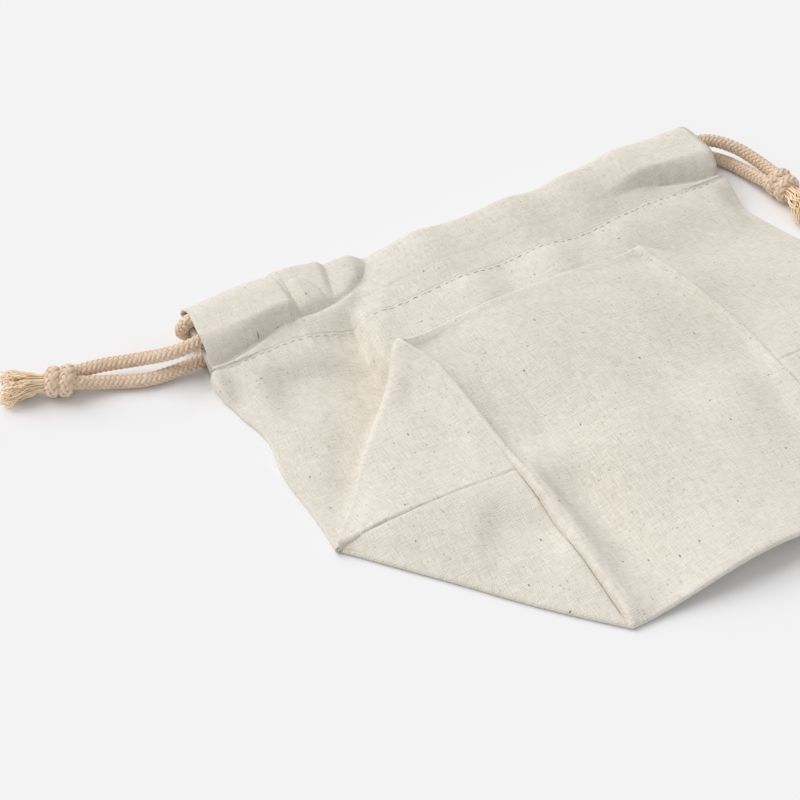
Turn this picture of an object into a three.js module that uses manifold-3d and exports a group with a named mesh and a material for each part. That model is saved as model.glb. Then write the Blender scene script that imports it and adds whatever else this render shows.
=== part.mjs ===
// A drawstring lunch bag of linen, lying flat with its boxed base folded up over its front.
// Millimetres, +Z up, resting on Z = 0, mouth towards +Y, origin under the middle of the bag.
// A place on the cloth is (across, down): across from the left end of the mouth, down from the mouth.

import * as THREE from "three";
import { mergeVertices } from "three/addons/utils/BufferGeometryUtils.js";
import Module from "manifold-3d";

const wasm = await Module();
wasm.setup();

// Driving dimensions of the sewn bag.
const BAG_WIDTH = 232;
const BAG_HEIGHT = 182;
const BASE_DEPTH = 130;
const CASING_DEPTH = 29;
const MOUTH_WIDTH = 212;
const CLOTH = 1;
const CORD = 5;
const CLEAR = 0.3;

// Where the flat cloth is folded: the base comes up over the front on FOLD_LINE.
const HALF_BASE = BASE_DEPTH / 2;
const BASE_LENGTH = BAG_WIDTH - BASE_DEPTH;
const FOLD_LINE = BAG_HEIGHT - HALF_BASE;
const LAYER = 1.8;
const EDGE_FOLD = 2.5;
const FOLD_BULGE = 2;
const TIP_RISE = 3.4;
const CORNER_ROUND = 8;

// How far the front stands off the back, and how wide its sides slope.
const PUFF = 10.9;
const PUFF_START = 8;
const PUFF_END = 104;
const PUFF_FALL = 0.8;
const FALL_START = 60;
const COLLAR = 4;
const COLLAR_END = 60;

// The free edge of the base arches off the table between its two corners.
const EDGE_LIFT = 8;
const LIFT_START = 130;
const BASE_PUFF = { height: 2.5, from: HALF_BASE + 12, to: HALF_BASE + 40, half: 45 };

// The seam across each boxed corner stands up as a ridge, steeper on the side of the base.
const RIDGE_TOP = 5;
const RIDGE_LOW = 2.4;
const RIDGE_DROP = 7;

// The casing: two tunnels for two cords each, with the mouth open between them.
const CORD_ROOM = 0.6;
const TUNNEL = CORD + 2 * CORD_ROOM + CLOTH;
const TUNNEL_END = 21.4;
const STITCHED = CLOTH + CLEAR;
const MOUTH_GAP = 4.9;
const MOUTH_OPEN = { from: 35, full: 95, fullTo: 140, to: 200 };
const MOUTH_DROP = 6;
const MOUTH_SAG = { from: 25, full: 75, fullTo: 150, to: 205, end: 75 };
const RIGHT_CORD_DOWN = 8.5;
const LEFT_CORD_DOWN = 18.4;

// The mesh's columns across the cloth, closest where the gathers show most.
const COLUMN_BANDS = [
  { upTo: 36, count: 5 },
  { upTo: 78, count: 11 },
  { upTo: BAG_WIDTH, count: 17 },
];
const PANEL_ROWS = [33, 39, 46, FOLD_LINE - HALF_BASE, 62, 75, 88, 100, 109];
const FIRST_FOLDED_ROW = 3;
const BEND_STEP = 1.6;
const FRONT_CASING_ROWS = [5, 13, TUNNEL_END, 23.5, 26.5];
const BACK_CASING_ROWS = [5, TUNNEL_END];
const HEM_ROWS = [28, 24.5, TUNNEL_END, 5];
const MOUTH_FOLD_STEPS = 4;
const SIDE_STEPS = { front: 2, flat: 4, back: 3 };
const SIDE_COUNT = SIDE_STEPS.front + SIDE_STEPS.flat + SIDE_STEPS.back;

// Gathers drawn up by the cords: a swelling in the casing that runs out down the front.
const GATHERS = [
  { at: 52, half: 6, height: 3, reach: 22, drift: 0.05 },
  { at: 68, half: 5, height: 3.4, reach: 34, drift: -0.3 },
  { at: 101, half: 10, height: 2.4, reach: 30, drift: 0.1 },
  { at: 136, half: 11, height: 2.6, reach: 26, drift: -0.1 },
  { at: 168, half: 10, height: 2.2, reach: 24, drift: 0.1 },
  { at: 195, half: 10, height: 1.8, reach: 20, drift: 0 },
];
const GATHER_FADE = { from: 40, to: 66 };
const STITCH_PINCH = { share: 0.6, half: 5 };

// Where the left edge wanders from a straight line, and how the folded corner sits.
const LEFT_WAVES = [
  { at: 37, half: 10, shift: -2 },
  { at: 62, half: 15, shift: 3.2 },
  { at: 96, half: 20, shift: 1 },
];
const WAVE_REACH = 25;
const CORNER_SHIFTS = [
  { at: HALF_BASE, down: FOLD_LINE - HALF_BASE, reach: 28, outward: -2.5, lower: 1.5 },
  { at: 0, down: FOLD_LINE, reach: 24, outward: 2.4, lower: -3.6 },
];

// Free ends of the drawstrings: out runs away from the bag's side, down from the mouth.
// The front strand runs from the knot to the casing, the back strand from the casing to the knot.
const LEFT_END = {
  front: [
    { out: 38, down: 5.4, up: 6 },
    { out: 30, down: 6.7, up: 6 },
    { out: 19, down: 11.2, up: 7.2 },
    { out: 8, down: 18, up: 11.2 },
  ],
  back: [
    { out: 8, down: 18.6, up: 3.2 },
    { out: 19, down: 17.2, up: 2.7 },
    { out: 30, down: 12.6, up: 3 },
    { out: 38, down: 10.4, up: 4.8 },
  ],
  knot: { out: 45.4, down: 6.6, up: 5.8 },
  knotTurn: 157,
};
const RIGHT_END = {
  front: [
    { out: 21.2, down: 34.5, up: 6 },
    { out: 20.4, down: 26.5, up: 6.4 },
    { out: 16, down: 16.5, up: 8.6 },
    { out: 7.5, down: 10, up: 11.2 },
  ],
  back: [
    { out: 7, down: 9.2, up: 3.2 },
    { out: 12.6, down: 15, up: 2.7 },
    { out: 15.4, down: 25, up: 3.2 },
    { out: 16.2, down: 34.5, up: 4.8 },
  ],
  knot: { out: 18.7, down: 41, up: 5.8 },
  knotTurn: -90,
};
// Where each drawstring passes through the casing, as shares of the width, and how it turns round.
const FRONT_SHARES = [0.03, 0.15, 0.27, 0.39, 0.5, 0.61, 0.73, 0.85, 0.97];
const BACK_SHARES = [0.97, 0.75, 0.5, 0.25, 0.03];
const TURN_START = 0.6;
const TURN_REACH = 4.2;
const CORD_SIDES = 10;
const STEPS_PER_POINT = 2;

// The middle of the cloth's outline, which becomes the origin.
const MIDDLE = { across: 115.12, down: 91.515 };

const LINEN = new THREE.MeshStandardMaterial({ color: 0xded7cb, roughness: 0.95, metalness: 0 });
const COTTON = new THREE.MeshStandardMaterial({ color: 0xe2c8ac, roughness: 0.9, metalness: 0 });

function mix(a, b, share) {
  return a + (b - a) * share;
}

function rise(value, from, to) {
  return THREE.MathUtils.smoothstep(value, from, to);
}

function hump(value, at, half) {
  return Math.exp(-(((value - at) / half) ** 2));
}

// 1 over the middle of the mouth, falling to 0 at both its ends.
function plateau(value, span) {
  return rise(value, span.from, span.full) * (1 - rise(value, span.fullTo, span.to));
}

// Distance in from the nearer side of the bag.
function inset(across) {
  return Math.max(0, Math.min(across, BAG_WIDTH - across));
}

// A place on the cloth laid out on the table: the gathered mouth is narrower than the base.
function place(across, down, up) {
  const gathered = 1 - rise(down, CASING_DEPTH, FOLD_LINE);
  const narrow = 1 - (1 - MOUTH_WIDTH / BAG_WIDTH) * gathered;
  const nearLeft = Math.exp(-Math.max(across, 0) / WAVE_REACH);
  const sag = plateau(across, MOUTH_SAG) * (1 - rise(down, CASING_DEPTH, MOUTH_SAG.end));
  let x = across * narrow;
  let y = down + sag * MOUTH_DROP;
  for (const wave of LEFT_WAVES) {
    x += wave.shift * hump(down, wave.at, wave.half) * nearLeft;
  }
  for (const corner of CORNER_SHIFTS) {
    const near = hump(across, corner.at, corner.reach) * hump(down, corner.down, corner.reach);
    x += near * corner.outward;
    y += near * corner.lower;
  }
  return new THREE.Vector3(x - MIDDLE.across, MIDDLE.down - y, up);
}

// Swellings of the gathers, pinched where the casing is stitched down.
function gathers(across, down) {
  const below = Math.max(0, down - CASING_DEPTH);
  const pinch = 1 - STITCH_PINCH.share * hump(down, CASING_DEPTH, STITCH_PINCH.half);
  const fade = 1 - rise(down, GATHER_FADE.from, GATHER_FADE.to);
  let height = 0;
  for (const row of GATHERS) {
    const middle = row.at + row.drift * (down - CASING_DEPTH);
    height += row.height * hump(across, middle, row.half) * Math.exp(-below / row.reach);
  }
  return height * pinch * fade;
}

// Heights of the four layers of cloth, each at the middle of its thickness.
function backHeight(across, down) {
  const along = THREE.MathUtils.clamp((across - HALF_BASE) / BASE_LENGTH, 0, 1);
  const arch = Math.sin(Math.PI * along) ** 2;
  const outward = Math.max(0, down - LIFT_START) / (BAG_HEIGHT - LIFT_START);
  return CLOTH / 2 + EDGE_LIFT * arch * outward ** 2;
}

function frontHeight(across, down) {
  const dome = rise(inset(across), PUFF_START, PUFF_END);
  const fall = 1 - PUFF_FALL * rise(down, FALL_START, FOLD_LINE);
  const collar = COLLAR * (1 - dome) * (1 - rise(down, CASING_DEPTH, COLLAR_END));
  return CLOTH / 2 + EDGE_FOLD + collar + PUFF * dome * fall + gathers(across, down);
}

function returnHeight(across, down) {
  return frontHeight(across, down) + LAYER;
}

function ridgeHeight(across, down) {
  const past = inset(across) - HALF_BASE;
  const slope = past < 0 ? 1 + past / HALF_BASE : Math.exp(-past / RIDGE_DROP);
  return slope * mix(RIDGE_TOP, RIDGE_LOW, rise(down, FOLD_LINE - HALF_BASE, FOLD_LINE));
}

function baseHeight(across, down) {
  const middle = rise(inset(across), BASE_PUFF.from, BASE_PUFF.to);
  const puff = BASE_PUFF.height * middle * hump(down, FOLD_LINE, BASE_PUFF.half);
  const swell = ridgeHeight(across, down) + puff;
  if (down <= FOLD_LINE) {
    return returnHeight(across, down) + LAYER + swell;
  }
  const reach = Math.max(1, Math.min(inset(across), HALF_BASE));
  const share = Math.min(1, (down - FOLD_LINE) / reach);
  const low = backHeight(across, FOLD_LINE + reach) + EDGE_FOLD;
  return mix(returnHeight(across, FOLD_LINE) + LAYER, low, share) + swell * (1 - share);
}

// Half the height of a tunnel at a depth below the mouth.
function tunnelHalf(down) {
  const round = TUNNEL / 2;
  if (down < round) {
    return Math.sqrt(round ** 2 - (round - down) ** 2);
  }
  return mix(round, STITCHED / 2, rise(down, TUNNEL_END, CASING_DEPTH - 1));
}

function frontTunnelMiddle(across, down) {
  const open = plateau(across, MOUTH_OPEN);
  const clear = CLOTH / 2 + TUNNEL + CLOTH + 2 * CLEAR + TUNNEL / 2;
  const sewn = frontHeight(across, CASING_DEPTH) - gathers(across, CASING_DEPTH) - STITCHED / 2;
  return mix(clear + MOUTH_GAP * open, sewn, rise(down, TUNNEL_END, CASING_DEPTH));
}

// side is 1 on the outside of the casing and -1 on the turned-in hem.
function frontCasing(across, down, side) {
  const half = tunnelHalf(down);
  const swell = (gathers(across, down) / 2) * (1 + (side * half) / (TUNNEL / 2));
  return place(across, down, frontTunnelMiddle(across, down) + side * half + swell);
}

function backCasing(across, down, side) {
  const half = tunnelHalf(down);
  const middle = CLOTH / 2 + (down < TUNNEL / 2 ? TUNNEL / 2 : half);
  return place(across, down, middle - side * half);
}

// Where the mesh's columns stand, as shares of the width.
function columnShares() {
  const shares = [0];
  let from = 0;
  for (const band of COLUMN_BANDS) {
    for (let i = 1; i <= band.count; i += 1) {
      shares.push(mix(from, band.upTo, i / band.count) / BAG_WIDTH);
    }
    from = band.upTo;
  }
  return shares;
}

// A row of the tube lies past the line where the front folds back up, or short of it where past is
// below 0. Round that fold, where past is 0, bend runs from -1 through 0 to 1.
function tubeRows() {
  const panel = [CASING_DEPTH, ...PANEL_ROWS].map((down) => ({ past: down - FOLD_LINE, bend: -1 }));
  const fold = [-1, 0, 1].map((bend) => ({ past: 0, bend }));
  const folded = PANEL_ROWS.slice(FIRST_FOLDED_ROW).toReversed();
  return [...panel, ...fold, ...folded.map((down) => ({ past: FOLD_LINE - down, bend: 1 }))];
}

function frontPoint(share, row) {
  const reach = Math.max(0, row.past);
  const across = mix(reach, BAG_WIDTH - reach, share);
  const down = FOLD_LINE - Math.abs(row.past);
  if (row.past < 0) {
    return place(across, down, frontHeight(across, down));
  }
  if (row.past > 0) {
    return place(across, down, returnHeight(across, down));
  }
  const angle = row.bend * (Math.PI / 2);
  const middle = frontHeight(across, down) + LAYER / 2;
  return place(across, down + (LAYER / 2) * Math.cos(angle), middle + (LAYER / 2) * Math.sin(angle));
}

function backDown(row) {
  return FOLD_LINE + row.past + (row.past === 0 ? row.bend * BEND_STEP : 0);
}

function backPoint(share, row) {
  const reach = Math.max(0, row.past);
  const across = mix(reach, BAG_WIDTH - reach, share);
  return place(across, backDown(row), backHeight(across, backDown(row)));
}

// A place between two layers on a rounded fold, pushed out along (outAcross, outDown).
function foldPlace(across, down, from, to, share, outAcross, outDown) {
  const angle = Math.PI * share;
  const bulge = Math.min(Math.abs(from - to) / 2, FOLD_BULGE) * Math.sin(angle);
  const up = (from + to) / 2 + ((from - to) / 2) * Math.cos(angle);
  return place(across + bulge * outAcross, down + bulge * outDown, up);
}

// Across the folded-up base, from the fold on the front round to the fold on the back.
function flapPoint(across, reach, step, outAcross) {
  const outDown = Math.sqrt(1 - outAcross ** 2);
  const top = FOLD_LINE - reach;
  const low = FOLD_LINE + reach;
  if (step <= SIDE_STEPS.front) {
    const share = step / SIDE_STEPS.front;
    const from = returnHeight(across, top);
    return foldPlace(across, top, from, baseHeight(across, top), share, outAcross, -outDown);
  }
  if (step <= SIDE_STEPS.front + SIDE_STEPS.flat) {
    const down = mix(top, low, (step - SIDE_STEPS.front) / SIDE_STEPS.flat);
    return place(across, down, baseHeight(across, down));
  }
  const share = (step - SIDE_STEPS.front - SIDE_STEPS.flat) / SIDE_STEPS.back;
  const from = baseHeight(across, low);
  return foldPlace(across, low, from, backHeight(across, low), share, outAcross, outDown);
}

// direction is -1 on the left side of the bag and 1 on the right.
function sidePoint(direction, row, step) {
  const reach = Math.max(0, row.past);
  const across = direction < 0 ? reach : BAG_WIDTH - reach;
  if (reach > 0) {
    return flapPoint(across, reach, step, direction * Math.SQRT1_2);
  }
  const tip = row.past === 0 ? (row.bend + 1) / 2 : 0;
  const share = step / SIDE_COUNT;
  const down = backDown(row);
  const front = frontHeight(across, down) + tip * LAYER;
  const edge = foldPlace(across, down, front, backHeight(across, down), share, direction, 0);
  return edge.setZ(edge.z + TIP_RISE * tip ** 1.5 * Math.sin(Math.PI * share));
}

// A sheet of cloth, grown strip by strip from rows of point numbers and then given its thickness.
class Sheet {
  constructor() {
    this.points = [];
    this.triangles = [];
  }

  row(places) {
    return places.map((spot) => this.points.push(spot) - 1);
  }

  join(upper, lower) {
    for (let i = 0; i + 1 < upper.length; i += 1) {
      this.triangles.push([upper[i], lower[i], lower[i + 1]]);
      this.triangles.push([upper[i], lower[i + 1], upper[i + 1]]);
    }
  }

  joinAll(rows) {
    for (let i = 0; i + 1 < rows.length; i += 1) {
      this.join(rows[i], rows[i + 1]);
    }
  }

  normals() {
    const normals = this.points.map(() => new THREE.Vector3());
    const facet = new THREE.Triangle();
    const normal = new THREE.Vector3();
    for (const triangle of this.triangles) {
      facet.setFromPointsAndIndices(this.points, ...triangle);
      facet.getNormal(normal).multiplyScalar(facet.getArea());
      for (const corner of triangle) {
        normals[corner].add(normal);
      }
    }
    return normals.map((one) => one.normalize());
  }

  // Edges that belong to one triangle only are the sheet's rim.
  rim() {
    const edges = new Map();
    for (const triangle of this.triangles) {
      for (let i = 0; i < 3; i += 1) {
        const from = triangle[i];
        const to = triangle[(i + 1) % 3];
        if (!edges.delete(`${to},${from}`)) {
          edges.set(`${from},${to}`, [from, to]);
        }
      }
    }
    return [...edges.values()];
  }

  solid(thickness) {
    const count = this.points.length;
    const normals = this.normals();
    const outer = this.points.map((spot, i) => spot.clone().addScaledVector(normals[i], thickness / 2));
    const inner = this.points.map((spot, i) => spot.clone().addScaledVector(normals[i], -thickness / 2));
    const index = [];
    for (const [a, b, c] of this.triangles) {
      index.push(a, b, c, a + count, c + count, b + count);
    }
    for (const [from, to] of this.rim()) {
      index.push(to, from, from + count, to, from + count, to + count);
    }
    const geometry = new THREE.BufferGeometry().setFromPoints([...outer, ...inner]);
    geometry.setIndex(index);
    return geometry;
  }
}

// One tunnel of the casing, from the free edge of its hem over the mouth to the stitched line.
function casingRows(sheet, shares, outerRows, spot) {
  const rows = HEM_ROWS.map((down) => ({ down, side: -1 }));
  for (let i = 1; i < MOUTH_FOLD_STEPS; i += 1) {
    const angle = Math.PI * (i / MOUTH_FOLD_STEPS);
    const side = Math.sign(2 * i - MOUTH_FOLD_STEPS);
    rows.push({ down: (TUNNEL / 2) * (1 - Math.sin(angle)), side });
  }
  rows.push(...outerRows.map((down) => ({ down, side: 1 })));
  return rows.map(({ down, side }) => {
    const spots = shares.map((share) => spot(share * BAG_WIDTH, down, side));
    return sheet.row(spots);
  });
}

function bagBody() {
  const sheet = new Sheet();
  const shares = columnShares();
  const steps = Array.from({ length: SIDE_COUNT - 1 }, (_, i) => i + 1);
  const rows = tubeRows().map((row) => ({
    front: sheet.row(shares.map((share) => frontPoint(share, row))),
    right: sheet.row(steps.map((step) => sidePoint(1, row, step))),
    back: sheet.row(shares.map((share) => backPoint(share, row))),
    left: sheet.row(steps.map((step) => sidePoint(-1, row, step))),
  }));
  const loops = rows.map((row) => [
    ...row.front,
    ...row.right,
    ...row.back.toReversed(),
    ...row.left.toReversed(),
    row.front[0],
  ]);
  sheet.joinAll(loops);

  const last = rows.at(-1);
  const base = steps.map((step) => {
    const inside = shares.slice(1, -1).map((share) => {
      const across = mix(HALF_BASE, BAG_WIDTH - HALF_BASE, share);
      const toCorner = 1 - rise(inset(across) - HALF_BASE, 0, CORNER_ROUND);
      const lean = Math.sign(share - 0.5) * Math.SQRT1_2 * toCorner;
      return flapPoint(across, HALF_BASE, step, lean);
    });
    return [last.left[step - 1], ...sheet.row(inside), last.right[step - 1]];
  });
  sheet.joinAll([last.front, ...base, last.back]);

  const frontRows = casingRows(sheet, shares, FRONT_CASING_ROWS, frontCasing);
  const backRows = casingRows(sheet, shares.toReversed(), BACK_CASING_ROWS, backCasing);
  sheet.joinAll([...frontRows, rows[0].front]);
  sheet.joinAll([...backRows, rows[0].back.toReversed()]);
  return sheet.solid(CLOTH);
}

// A route that gives each span between two of its points the same number of steps.
class Route extends THREE.CatmullRomCurve3 {
  getPointAt(share, target) {
    return this.getPoint(share, target);
  }

  getTangentAt(share, target) {
    return this.getTangent(share, target);
  }
}

function roundSection(radius, sides) {
  const corners = Array.from({ length: sides }, (_, i) => (2 * Math.PI * i) / sides);
  return new THREE.Shape(corners.map((turn) => new THREE.Vector2(
    radius * Math.cos(turn),
    radius * Math.sin(turn),
  )));
}

// A place of a free end: out runs away from the left side, or from the right with direction 1.
function freePlace(direction, spot) {
  const side = direction < 0 ? 0 : BAG_WIDTH;
  const edge = place(side, spot.down, spot.up);
  return edge.setX(edge.x + direction * spot.out);
}

// Both ends on one side, through the front casing, round the far end and home through the back.
function drawstring(direction, down, end) {
  const near = (share) => (direction < 0 ? share : 1 - share) * BAG_WIDTH;
  const front = FRONT_SHARES.map((share) => {
    const across = near(share);
    return place(across, down, frontTunnelMiddle(across, down));
  });
  const low = CLOTH + CORD_ROOM + CORD / 2;
  const high = front.at(-1).z;
  const back = BACK_SHARES.map((share) => place(near(share), down, low));
  const far = place(near(1), down, low).x;
  const turns = [
    { out: TURN_START, up: high },
    { out: TURN_REACH, up: (low + high) / 2 },
    { out: TURN_START, up: low },
  ].map((spot) => new THREE.Vector3(far - direction * spot.out, front.at(-1).y, spot.up));
  const strand = (spots) => spots.map((spot) => freePlace(direction, spot));
  const points = [...strand(end.front), ...front, ...turns, ...back, ...strand(end.back)];
  const route = new Route(points, false, "centripetal");
  return new THREE.ExtrudeGeometry(roundSection(CORD / 2, CORD_SIDES), {
    steps: STEPS_PER_POINT * (points.length - 1),
    extrudePath: route,
  });
}

function toSolid(geometry) {
  const bare = new THREE.BufferGeometry();
  const flat = geometry.index ? geometry.toNonIndexed() : geometry;
  bare.setAttribute("position", flat.getAttribute("position"));
  const merged = mergeVertices(bare, 1e-4);
  return new wasm.Manifold(new wasm.Mesh({
    numProp: 3,
    vertProperties: merged.attributes.position.array,
    triVerts: new Uint32Array(merged.index.array),
  }));
}

function joined(geometries) {
  const mesh = geometries.map(toSolid).reduce((all, one) => all.add(one)).getMesh();
  const geometry = new THREE.BufferGeometry();
  geometry.setAttribute("position", new THREE.BufferAttribute(mesh.vertProperties, 3));
  geometry.setIndex(new THREE.BufferAttribute(mesh.triVerts, 1));
  return geometry;
}

// The knot along its own X: two turns of the doubled cord round its core, tails towards +X.
const KNOT_CORE = [
  { along: -5.9, radius: 4 },
  { along: -3, radius: 4.2 },
  { along: 3.5, radius: 3.9 },
  { along: 6.2, radius: 2.9 },
];
const KNOT_TURNS = [
  { along: -2.2, tilt: 9 },
  { along: 2.2, tilt: -5 },
];
const KNOT_TURN_RADIUS = 3.2;
const KNOT_CORD_RADIUS = CORD / 2;
const KNOT_SECTION_SIDES = 8;
const KNOT_RING_SIDES = 16;
const CORE_WIDTH = 1.25;
const CORE_HEIGHT = 0.85;
const CORE_SIDES = 12;

function turnedProfile(profile, sides) {
  const first = profile[0].along;
  const last = profile.at(-1).along;
  const outline = profile.map((row) => new THREE.Vector2(row.radius, row.along));
  const closed = [new THREE.Vector2(0, first), ...outline, new THREE.Vector2(0, last)];
  return new THREE.LatheGeometry(closed, sides).rotateZ(-Math.PI / 2);
}

function knotTurn(turn) {
  return new THREE.TorusGeometry(KNOT_TURN_RADIUS, KNOT_CORD_RADIUS, KNOT_SECTION_SIDES, KNOT_RING_SIDES)
    .rotateY(Math.PI / 2)
    .rotateZ(THREE.MathUtils.degToRad(turn.tilt))
    .translate(turn.along, 0, 0);
}

function knot() {
  const core = turnedProfile(KNOT_CORE, CORE_SIDES).scale(1, CORE_WIDTH, CORE_HEIGHT);
  return joined([core, ...KNOT_TURNS.map(knotTurn)]);
}

// The frayed tails: a short bound root with yarns that fan out from it and droop to the table.
const FRAY_ROOT = [
  { along: 6.5, radius: 2.7 },
  { along: 9.5, radius: 2.9 },
];
const FRAY_ROOT_SIDES = 10;
const YARNS = 34;
const YARN_RADIUS = 0.42;
const YARN_LENGTH = 11;
const YARN_SHORTER = 2.4;
const YARN_ROOTED = 0.8;
const YARN_DROOP = 2.2;
const YARN_CURL = 0.5;
const FAN = { from: 2.3, to: 5.6, flatness: 0.85 };
const YARN_STEPS = [0, 0.35, 0.7, 1];
const YARN_SIDES = 3;
const GOLDEN_ANGLE = Math.PI * (3 - Math.sqrt(5));

function yarnTube(spots, radius) {
  const sides = YARN_SIDES;
  const corners = [];
  for (const spot of spots) {
    for (let i = 0; i < sides; i += 1) {
      const turn = (2 * Math.PI * i) / sides;
      const offset = new THREE.Vector3(0, radius * Math.cos(turn), radius * Math.sin(turn));
      corners.push(offset.add(spot));
    }
  }
  const end = corners.length - sides;
  const index = [0, 2, 1, end, end + 1, end + 2];
  for (let ring = 0; ring < end; ring += sides) {
    for (let i = 0; i < sides; i += 1) {
      const a = ring + i;
      const b = ring + ((i + 1) % sides);
      index.push(a, b, b + sides, a, b + sides, a + sides);
    }
  }
  const geometry = new THREE.BufferGeometry().setFromPoints(corners);
  geometry.setIndex(index);
  return geometry;
}

function frayedEnd() {
  const lowest = YARN_RADIUS + CLEAR - LEFT_END.knot.up;
  const start = FRAY_ROOT.at(-1).along - YARN_ROOTED;
  const yarns = Array.from({ length: YARNS }, (_, i) => {
    const turn = i * GOLDEN_ANGLE;
    const out = Math.sqrt((i + 0.5) / YARNS);
    const length = YARN_LENGTH - YARN_SHORTER * Math.abs(Math.sin(2.3 * i));
    const spots = YARN_STEPS.map((share) => {
      const radius = out * mix(FAN.from, FAN.to, share ** 1.3);
      const curl = YARN_CURL * share * Math.sin(3.1 * i + 4 * share);
      const side = radius * Math.cos(turn) + curl;
      const up = FAN.flatness * radius * Math.sin(turn) - YARN_DROOP * share ** 2 + curl;
      return new THREE.Vector3(start + length * share, side, Math.max(up, lowest));
    });
    return yarnTube(spots, YARN_RADIUS);
  });
  return joined([turnedProfile(FRAY_ROOT, FRAY_ROOT_SIDES), ...yarns]);
}

function piece(name, geometry, material) {
  const mesh = new THREE.Mesh(geometry, material);
  mesh.name = name;
  return mesh;
}

// A knot and the frayed tails past it, turned to lie along the free ends.
function tiedEnd(side, direction, end) {
  const group = new THREE.Group();
  group.add(piece(`knot_${side}`, knot(), COTTON));
  group.add(piece(`frayed_end_${side}`, frayedEnd(), COTTON));
  group.position.copy(freePlace(direction, end.knot));
  group.rotation.z = THREE.MathUtils.degToRad(end.knotTurn);
  return group;
}

const bag = new THREE.Group();
bag.add(piece("bag_body", bagBody(), LINEN));
bag.add(piece("drawstring_left", drawstring(-1, LEFT_CORD_DOWN, LEFT_END), COTTON));
bag.add(piece("drawstring_right", drawstring(1, RIGHT_CORD_DOWN, RIGHT_END), COTTON));
bag.add(tiedEnd("left", -1, LEFT_END));
bag.add(tiedEnd("right", 1, RIGHT_END));

export default bag;
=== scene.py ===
import bpy
import numpy as np
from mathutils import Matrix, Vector


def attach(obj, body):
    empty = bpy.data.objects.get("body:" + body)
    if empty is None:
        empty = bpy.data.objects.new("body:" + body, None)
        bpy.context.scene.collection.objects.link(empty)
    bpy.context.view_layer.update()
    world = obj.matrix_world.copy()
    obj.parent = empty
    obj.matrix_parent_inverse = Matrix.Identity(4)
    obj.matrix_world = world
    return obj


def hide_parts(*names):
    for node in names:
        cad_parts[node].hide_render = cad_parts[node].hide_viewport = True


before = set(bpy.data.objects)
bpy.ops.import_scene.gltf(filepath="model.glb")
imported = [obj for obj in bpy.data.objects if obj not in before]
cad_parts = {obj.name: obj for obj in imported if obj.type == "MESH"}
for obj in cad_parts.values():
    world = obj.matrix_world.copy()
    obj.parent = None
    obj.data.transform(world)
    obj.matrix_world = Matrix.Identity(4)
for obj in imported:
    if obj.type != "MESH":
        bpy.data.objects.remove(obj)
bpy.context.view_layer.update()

MM = 0.001

# The camera stands in front of the bag, a little to its left, and looks down at it at 45 degrees,
# as the bag was photographed. The right end of the bag runs out of the picture.
CAMERA_AZIMUTH = -29.4
CAMERA_ELEVATION = 44.9
CAMERA_DISTANCE = 0.5698
CAMERA_LENS = 76.5
CAMERA_SENSOR = 36.0
CAMERA_TARGET = Vector((-0.06312, 0.02632, 0.0))

azimuth, elevation = np.radians([CAMERA_AZIMUTH, CAMERA_ELEVATION])
camera_back = Vector((
    np.sin(azimuth) * np.cos(elevation),
    -np.cos(azimuth) * np.cos(elevation),
    np.sin(elevation),
))
camera_data = bpy.data.cameras.new("camera")
camera_data.lens = CAMERA_LENS
camera_data.sensor_width = CAMERA_SENSOR
camera = bpy.data.objects.new("camera", camera_data)
camera.location = CAMERA_TARGET + CAMERA_DISTANCE * camera_back
camera.rotation_euler = camera_back.to_track_quat("Z", "Y").to_euler()
bpy.context.scene.collection.objects.link(camera)
bpy.context.scene.camera = camera

# The drawstrings are braided cotton cords, 5 mm thick, of sixteen yarns that pass over two and under
# two. Each runs through the front casing, turns round at the far end and comes home through the back
# casing, so that both its ends leave the bag at the same side.
CORD_DIAMETER = 0.005
YARNS_EACH_WAY = 8
BRAID_LAY = 0.0145
YARN_WIDTH = 0.00130
YARN_THICKNESS = 0.00084
YARN_SWING = 0.00034
YARN_SIDES = 8
# The core stops short of the middle of the yarns, by this share of their thickness.
CORE_SHORT = 0.1
# Each yarn takes its own stretch of the cotton's pattern.
YARN_APART = 0.37
WAY_APART = 0.11
BRAID_STEP = 0.0004
HIDDEN_STEP = 0.004
ROUTE_DENSITY = 60
TUBE_SIDES = 10

LEFT_ROUTE = [
    (-0.1531, 0.0861, 0.0060), (-0.1451, 0.0848, 0.0060), (-0.1341, 0.0803, 0.0072),
    (-0.1231, 0.0735, 0.0112), (-0.1088, 0.0731, 0.0129), (-0.0835, 0.0724, 0.0129),
    (-0.0585, 0.0677, 0.0151), (-0.0327, 0.0670, 0.0177), (-0.0091, 0.0671, 0.0178),
    (0.0142, 0.0671, 0.0178), (0.0396, 0.0688, 0.0154), (0.0651, 0.0728, 0.0129),
    (0.0905, 0.0731, 0.0129), (0.0975, 0.0731, 0.0129), (0.1011, 0.0731, 0.0085),
    (0.0975, 0.0731, 0.0041), (0.0905, 0.0731, 0.0041), (0.0439, 0.0695, 0.0041),
    (-0.0091, 0.0671, 0.0041), (-0.0627, 0.0684, 0.0041), (-0.1088, 0.0731, 0.0041),
    (-0.1232, 0.0729, 0.0032), (-0.1341, 0.0743, 0.0027), (-0.1451, 0.0789, 0.0030),
    (-0.1531, 0.0811, 0.0048),
]
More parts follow.
